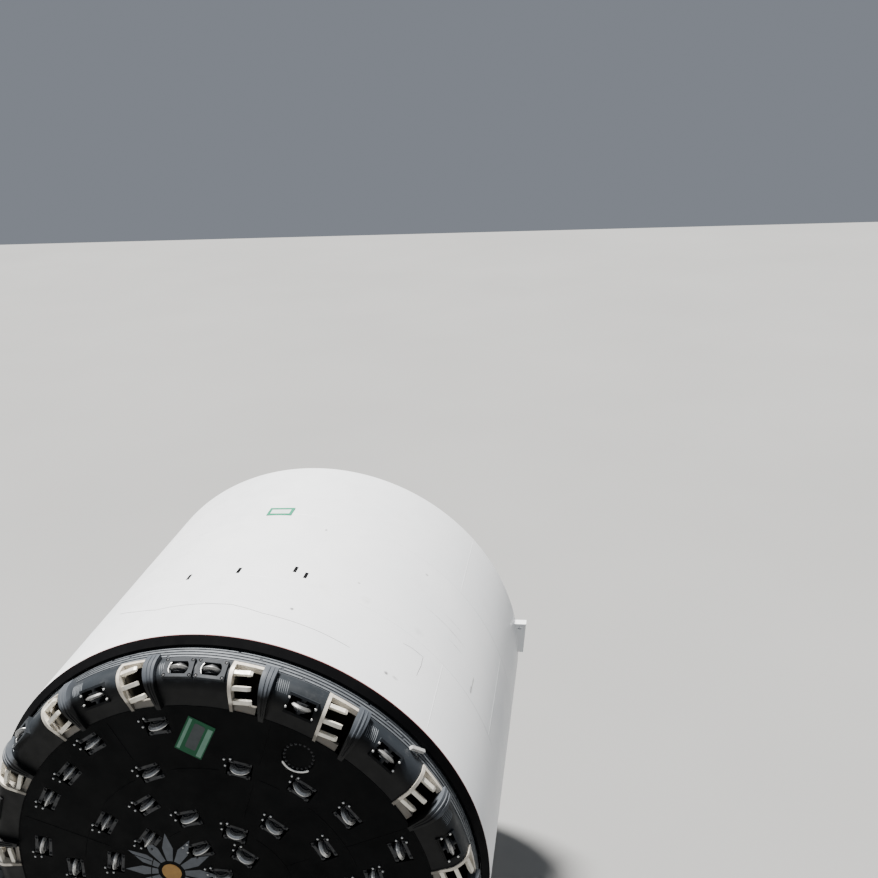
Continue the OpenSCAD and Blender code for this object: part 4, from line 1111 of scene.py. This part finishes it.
# %% Rounded guards
GUARD_EDGE = 0.030
guards = bmesh.new()
guards.from_mesh(frame["nodes"]["bucket_guards"].data)
bmesh.ops.remove_doubles(guards, verts=guards.verts, dist=0.0005)
bmesh.ops.dissolve_limit(guards, angle_limit=math.radians(1.5), verts=guards.verts, edges=guards.edges)
sharp = [e for e in guards.edges if len(e.link_faces) == 2 and e.calc_face_angle(0.0) > math.radians(40)]
bmesh.ops.bevel(guards, geom=sharp, offset=GUARD_EDGE, segments=3, profile=0.5,
                affect="EDGES", material=-1, clamp_overlap=True)
bmesh.ops.triangulate(guards, faces=guards.faces)
print("guard triangles", len(guards.faces))
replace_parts(add_piece("rounded_guards", guards, "cutterhead", "guard_paint"), "bucket_guards")

# %% [markdown]
# The folds are beads laid on the guards' backs. A guard's sides are planes that pass beside the bore's axis,
# so a fold turns a little with the radius too. It runs from the rim over the shoulder on to the face.

# %% Folds on the guards
GUARD_LEAN = 1.02
TRAIL_LEAN = 0.20
GUARD_DEG = 2.6
GUARD_PROUD = 0.12
FOLD_START = 0.56
FOLD_SHARES = (0.36, 0.68)


def slant(lean, radius):
    """How far a plane beside the bore's axis has turned at a radius, from its place at the rim."""
    return math.degrees(math.asin(lean / radius) - math.asin(lean / RIM_R))


def fold_route():
    """Steps over the shoulder: radius, distance ahead, and the share that faces out and ahead."""
    back_r = SHOULDER_R + GUARD_PROUD
    route = [(RIM_R + GUARD_PROUD, FOLD_START, 1.0, 0.0)]
    for turn in [math.radians(6.0 * i) for i in range(16)]:
        ahead = FACE_AHEAD - SHOULDER_R + back_r * math.sin(turn)
        route.append((ARC_R + back_r * math.cos(turn), ahead, math.cos(turn), math.sin(turn)))
    return route + [(ARC_R - 0.1 * i, FACE_AHEAD + GUARD_PROUD, 0.0, 1.0) for i in range(1, 4)]


folds = bmesh.new()
for part in guard_parts:
    centre = clock_of(middle(part))
    turns = [turn_between(centre, clock_of(p)) - slant(GUARD_LEAN, radius_of(p)) for p in part]
    start = centre + min(turns)
    for share in FOLD_SHARES:
        lean = GUARD_LEAN + (TRAIL_LEAN - GUARD_LEAN) * share
        points = []
        normals = []
        for radius, ahead, out_share, ahead_share in fold_route():
            place = bore_place(start + GUARD_DEG * share + slant(lean, radius), radius, ahead)
            points.append(place.translation.copy())
            normals.append(facing(place, out_share * OUT + ahead_share * AHEAD))
        bead(folds, points, normals, 0.042, 0.020)
add_piece("guard_folds", folds, "cutterhead", "guard_paint")
print("folds", len(FOLD_SHARES) * len(guard_parts))

# %% [markdown]
# The drive, the thrust cylinders and the erector are seen through the open tail, with the fittings that such
# machines have. The drive's motors get cooling fins, a terminal box each and a circle of flange bolts.

# %% Drive and motors
FLANGE_BOLTS_R = 0.312
FLANGE_BACK = 0.18
FIN_COUNT = 28
OUTER_BOLTS = (2.80, 96)
INNER_BOLTS = (1.60, 60)
BOX_TURN = Matrix.Rotation(math.radians(140), 4, "Z")
motor_parts = loose_parts("drive_motors")
motor_boxes = bmesh.new()
fins = bmesh.new()
flange_places = []
for part in motor_parts:
    place = place_over(middle(part), FRONT_Y - min(p.y for p in part))
    flange_places += places_at(place, circle_spots(FLANGE_BOLTS_R, 12, 0.5), -FLANGE_BACK, HEAD_BACK)
    for i in range(FIN_COUNT):
        turn = Matrix.Rotation(math.tau * i / FIN_COUNT, 4, "Z")
        block(fins, (0.300, -0.006, -0.98), (0.335, 0.006, -0.30), place @ turn)
    block(motor_boxes, (0.28, -0.16, -0.80), (0.42, 0.16, -0.45), place @ BOX_TURN)
add_bolts("motor_bolts", 0.030, flange_places, "shield")
add_piece("motor_fins", fins, "shield", "motor_paint", smooth=False)
add_piece("motor_boxes", motor_boxes, "shield", "drive_paint", smooth=False)
drive_rear = rear_of("main_drive")
drive_places = bolt_circle(*OUTER_BOLTS, drive_rear) + bolt_circle(*INNER_BOLTS, drive_rear)
add_bolts("drive_bolts", 0.050, drive_places, "shield")
print("motors", len(motor_parts))

# %% [markdown]
# Every thrust cylinder ends in a gland: a thick ring that holds the rod's seals, drawn down by a circle of
# bolts. Two steel pipes run along each barrel and feed its ends. The barrels' places come from their solids.

# %% Glands and pipes of the thrust cylinders
barrels = loose_parts("thrust_barrels")
BARREL_R = (max(p.x for p in barrels[0]) - min(p.x for p in barrels[0])) / 2
GLAND_PROFILE = [(BARREL_R - 0.045, 0.006), (BARREL_R + 0.004, 0.001), (BARREL_R + 0.030, 0.010),
                 (BARREL_R + 0.030, 0.080), (BARREL_R - 0.002, 0.086)]
# The pipe's corners: shares of the barrel's radius inwards and sideways, and metres ahead of the gland
PIPE_ROUTE = [(0.62, 0.80, 0.12), (0.72, 0.94, 0.17), (0.72, 0.94, 1.55), (0.62, 0.80, 1.60)]
glands = bmesh.new()
pipes = bmesh.new()
gland_places = []
for part in barrels:
    place = place_over(middle(part), FRONT_Y - max(p.y for p in part))
    turned_ring(glands, place, GLAND_PROFILE, 32)
    gland_places += places_at(place, circle_spots(BARREL_R - 0.018, 12, 0.5), 0.003, HEAD_BACK)
    for side in (-BARREL_R, BARREL_R):
        route = [place @ Vector((-inward * BARREL_R, across * side, ahead))
                 for inward, across, ahead in PIPE_ROUTE]
        bead(pipes, route, facing(place, -OUT), 0.040, 0.020, sides=8)
add_piece("cylinder_glands", glands, "shield", "cylinder_paint")
add_bolts("gland_bolts", 0.024, gland_places, "shield", washer=False)
add_piece("cylinder_pipes", pipes, "shield", "roller_steel")
print("glands", len(barrels))

# %% [markdown]
# The tail brushes are rows of wire tufts. A smooth ring would read as rubber, so each row gets a fringe of
# small uneven cones that lean inwards and back. The seed is fixed, so they fall the same way every time.

# %% Tufts of the tail brushes
TUFTS = 300
TUFT_LEAN_DEG = 55.0
random.seed(7)
tuft_shape = bmesh.new()
bmesh.ops.create_cone(tuft_shape, cap_ends=True, segments=5, radius1=0.030, radius2=0.010, depth=0.11)
tuft_places = []
for row in loose_parts("tail_brushes"):
    rear = FRONT_Y - max(p.y for p in row)
    inner = min(radius_of(p) for p in row)
    for i in range(TUFTS):
        lean = math.radians(TUFT_LEAN_DEG + random.uniform(-7.0, 7.0))
        clock = 360.0 * i / TUFTS + random.uniform(-0.2, 0.2)
        tuft_places.append(bore_place(clock, inner + 0.020, rear + 0.035)
                           @ Matrix.Rotation(-math.radians(90.0) - lean, 4, "Y")
                           @ Matrix.Rotation(random.uniform(0.0, 6.0), 4, "Z"))
add_piece("brush_tufts", copies(tuft_shape, tuft_places), "shield", "brush_wire", smooth=False)
print("tufts", len(tuft_places))

# %% [markdown]
# Inside, plates are bolted and welded to each other. The frame rings carry circles of bolts on both sides,
# three pipes run round behind the front ring, and the erector's rings are held by bolts of their own.

# %% Bolt circles and ring pipes
FRAME_BOLTS_R = 5.42
ROTOR_BOLTS_R = 2.38
CARRIAGE_BOLTS_R = 2.06
HEAD_AHEAD = Matrix.Identity(4)
RING_PIPES = [(5.31, 0.050), (5.25, 0.040), (5.19, 0.060)]


def both_sides(node, radius, count):
    """Bolt circles on a ring's rear and front faces."""
    return (bolt_circle(radius, count, rear_of(node))
            + bolt_circle(radius, count, front_of(node), HEAD_AHEAD))


add_bolts("frame_bolts", 0.050, both_sides("frame_rings", FRAME_BOLTS_R, 120), "shield")
add_bolts("rotor_bolts", 0.046, both_sides("erector_rotor", ROTOR_BOLTS_R, 60), "erector_rotor_body")
carriage_places = bolt_circle(CARRIAGE_BOLTS_R, 48, rear_of("erector_carriage"))
add_bolts("carriage_bolts", 0.046, carriage_places, "erector_carriage_body")
ring_pipes = bmesh.new()
pipes_ahead = rear_of("frame_posts") + 0.10
for radius, width in RING_PIPES:
    for start, end in ((-56.0, -34.0), (34.0, 56.0)):
        clocks = [start + (end - start) * i / 24 for i in range(25)]
        points = [bore_place(clock, radius, pipes_ahead).translation.copy() for clock in clocks]
        bead(ring_pipes, points, TO_TAIL, width, width / 2, sides=10)
add_piece("ring_pipes", ring_pipes, "shield", "roller_steel")
print("bolt circles are in")

# %% [markdown]
# The two man doors in the bulkhead are open holes, each stiffened by a rolled collar with a circle of bolts
# for its lid. The lifting brackets are welded on all round, with two runs of bead where each meets the skin.

# %% Man-door collars and the brackets' welds
DOOR_R = 0.40
DOOR_CLOCKS = (55.0, 305.0)
DOOR_CENTRE_R = SHIELD_R - 1.67
COLLAR_PROFILE = [(DOOR_R + 0.002, 0.004), (DOOR_R + 0.002, -0.050), (DOOR_R + 0.075, -0.050),
                  (DOOR_R + 0.090, -0.035), (DOOR_R + 0.090, 0.004)]
collars = bmesh.new()
collar_places = []
for clock in DOOR_CLOCKS:
    place = bore_place(clock, DOOR_CENTRE_R, rear_of("bulkhead"))
    turned_ring(collars, place, COLLAR_PROFILE, 40, closed=True)
    collar_places += places_at(place, circle_spots(DOOR_R + 0.040, 16), -0.050, HEAD_BACK)
add_piece("door_collars", collars, "shield", "inner_white")
add_bolts("collar_bolts", 0.030, collar_places, "shield")

bracket_low, bracket_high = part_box("lifting_brackets")
heights = [bracket_low.z + (bracket_high.z - bracket_low.z) * i / 16 for i in range(17)]
bracket_welds = bmesh.new()
for side in (-1.0, 1.0):
    for y, back in ((bracket_low.y, -1.0), (bracket_high.y, 1.0)):
        radius = skin_radius(y - FRONT_Y)
        points = [Vector((side * math.sqrt(radius ** 2 - (z - AXIS_H) ** 2), y, z)) for z in heights]
        bead(bracket_welds, points, Vector((side * 0.7, back * 0.7, 0.0)), 0.030, 0.015)
add_piece("bracket_welds", bracket_welds, "shield", "shield_paint")
print("doors", len(DOOR_CLOCKS), "brackets at height", round((bracket_low.z + bracket_high.z) / 2, 2))

# %% [markdown]
# The cradle is welded from plate. Its cross frames have stiffeners between web and foot, which keep the web
# from buckling under a thousand tonnes, and anchor bolts hold the feet to the ground slab. A stiffener is a
# block whose outer top edge is pulled down, so that it tapers away from the web.

# %% Stiffeners, anchors and welds of the cradle
FOOT_T = 0.04
WEB_T = 0.06
FOOT_EDGE = 0.02
STIFFENER_HALF_T = 0.013
TOE_H = 0.05
STIFFENERS = [(1.05, 0.26), (1.95, 0.46), (2.95, 0.80)]
ANCHORS_X = (0.55, 1.50, 2.20, 3.22)
ANCHORS_Y = 0.105
cradle_parts = sorted(loose_parts("cradle_frames"), key=lambda part: middle(part).y)
stiffeners = bmesh.new()
cradle_welds = bmesh.new()
anchor_places = []


def add_stiffener(mesh, x, y, side, outer, height):
    """A tapered plate on one side of a web at y, from the web to outer."""
    near, far = sorted((side * WEB_T / 2, side * outer))
    low = (x - STIFFENER_HALF_T, near, FOOT_T - 0.002)
    for corner in block(mesh, low, (x + STIFFENER_HALF_T, far, height)):
        if corner.co.z > FOOT_T + TOE_H and abs(corner.co.y) > WEB_T:
            corner.co.z = FOOT_T + TOE_H
        corner.co.y += y


for part in cradle_parts:
    y = middle(part).y
    foot_half = (max(p.y for p in part) - min(p.y for p in part)) / 2
    for side in (-1.0, 1.0):
        for hand in (-1.0, 1.0):
            for x, height in STIFFENERS:
                add_stiffener(stiffeners, hand * x, y, side, foot_half - FOOT_EDGE, height)
            anchor_places += [Matrix.Translation((hand * x, y + side * ANCHORS_Y, FOOT_T)) for x in ANCHORS_X]
        line = [Vector((0.34 * i - 3.40, y + side * WEB_T / 2, FOOT_T)) for i in range(21)]
        bead(cradle_welds, line, Vector((0.0, side * 0.7, 0.7)), 0.020, 0.010)
add_piece("cradle_stiffeners", stiffeners, "shield", "cradle_steel", smooth=False)
add_bolts("anchor_bolts", 0.055, anchor_places, "shield")
add_piece("cradle_welds", cradle_welds, "shield", "cradle_steel")
print("cradle frames", len(cradle_parts))
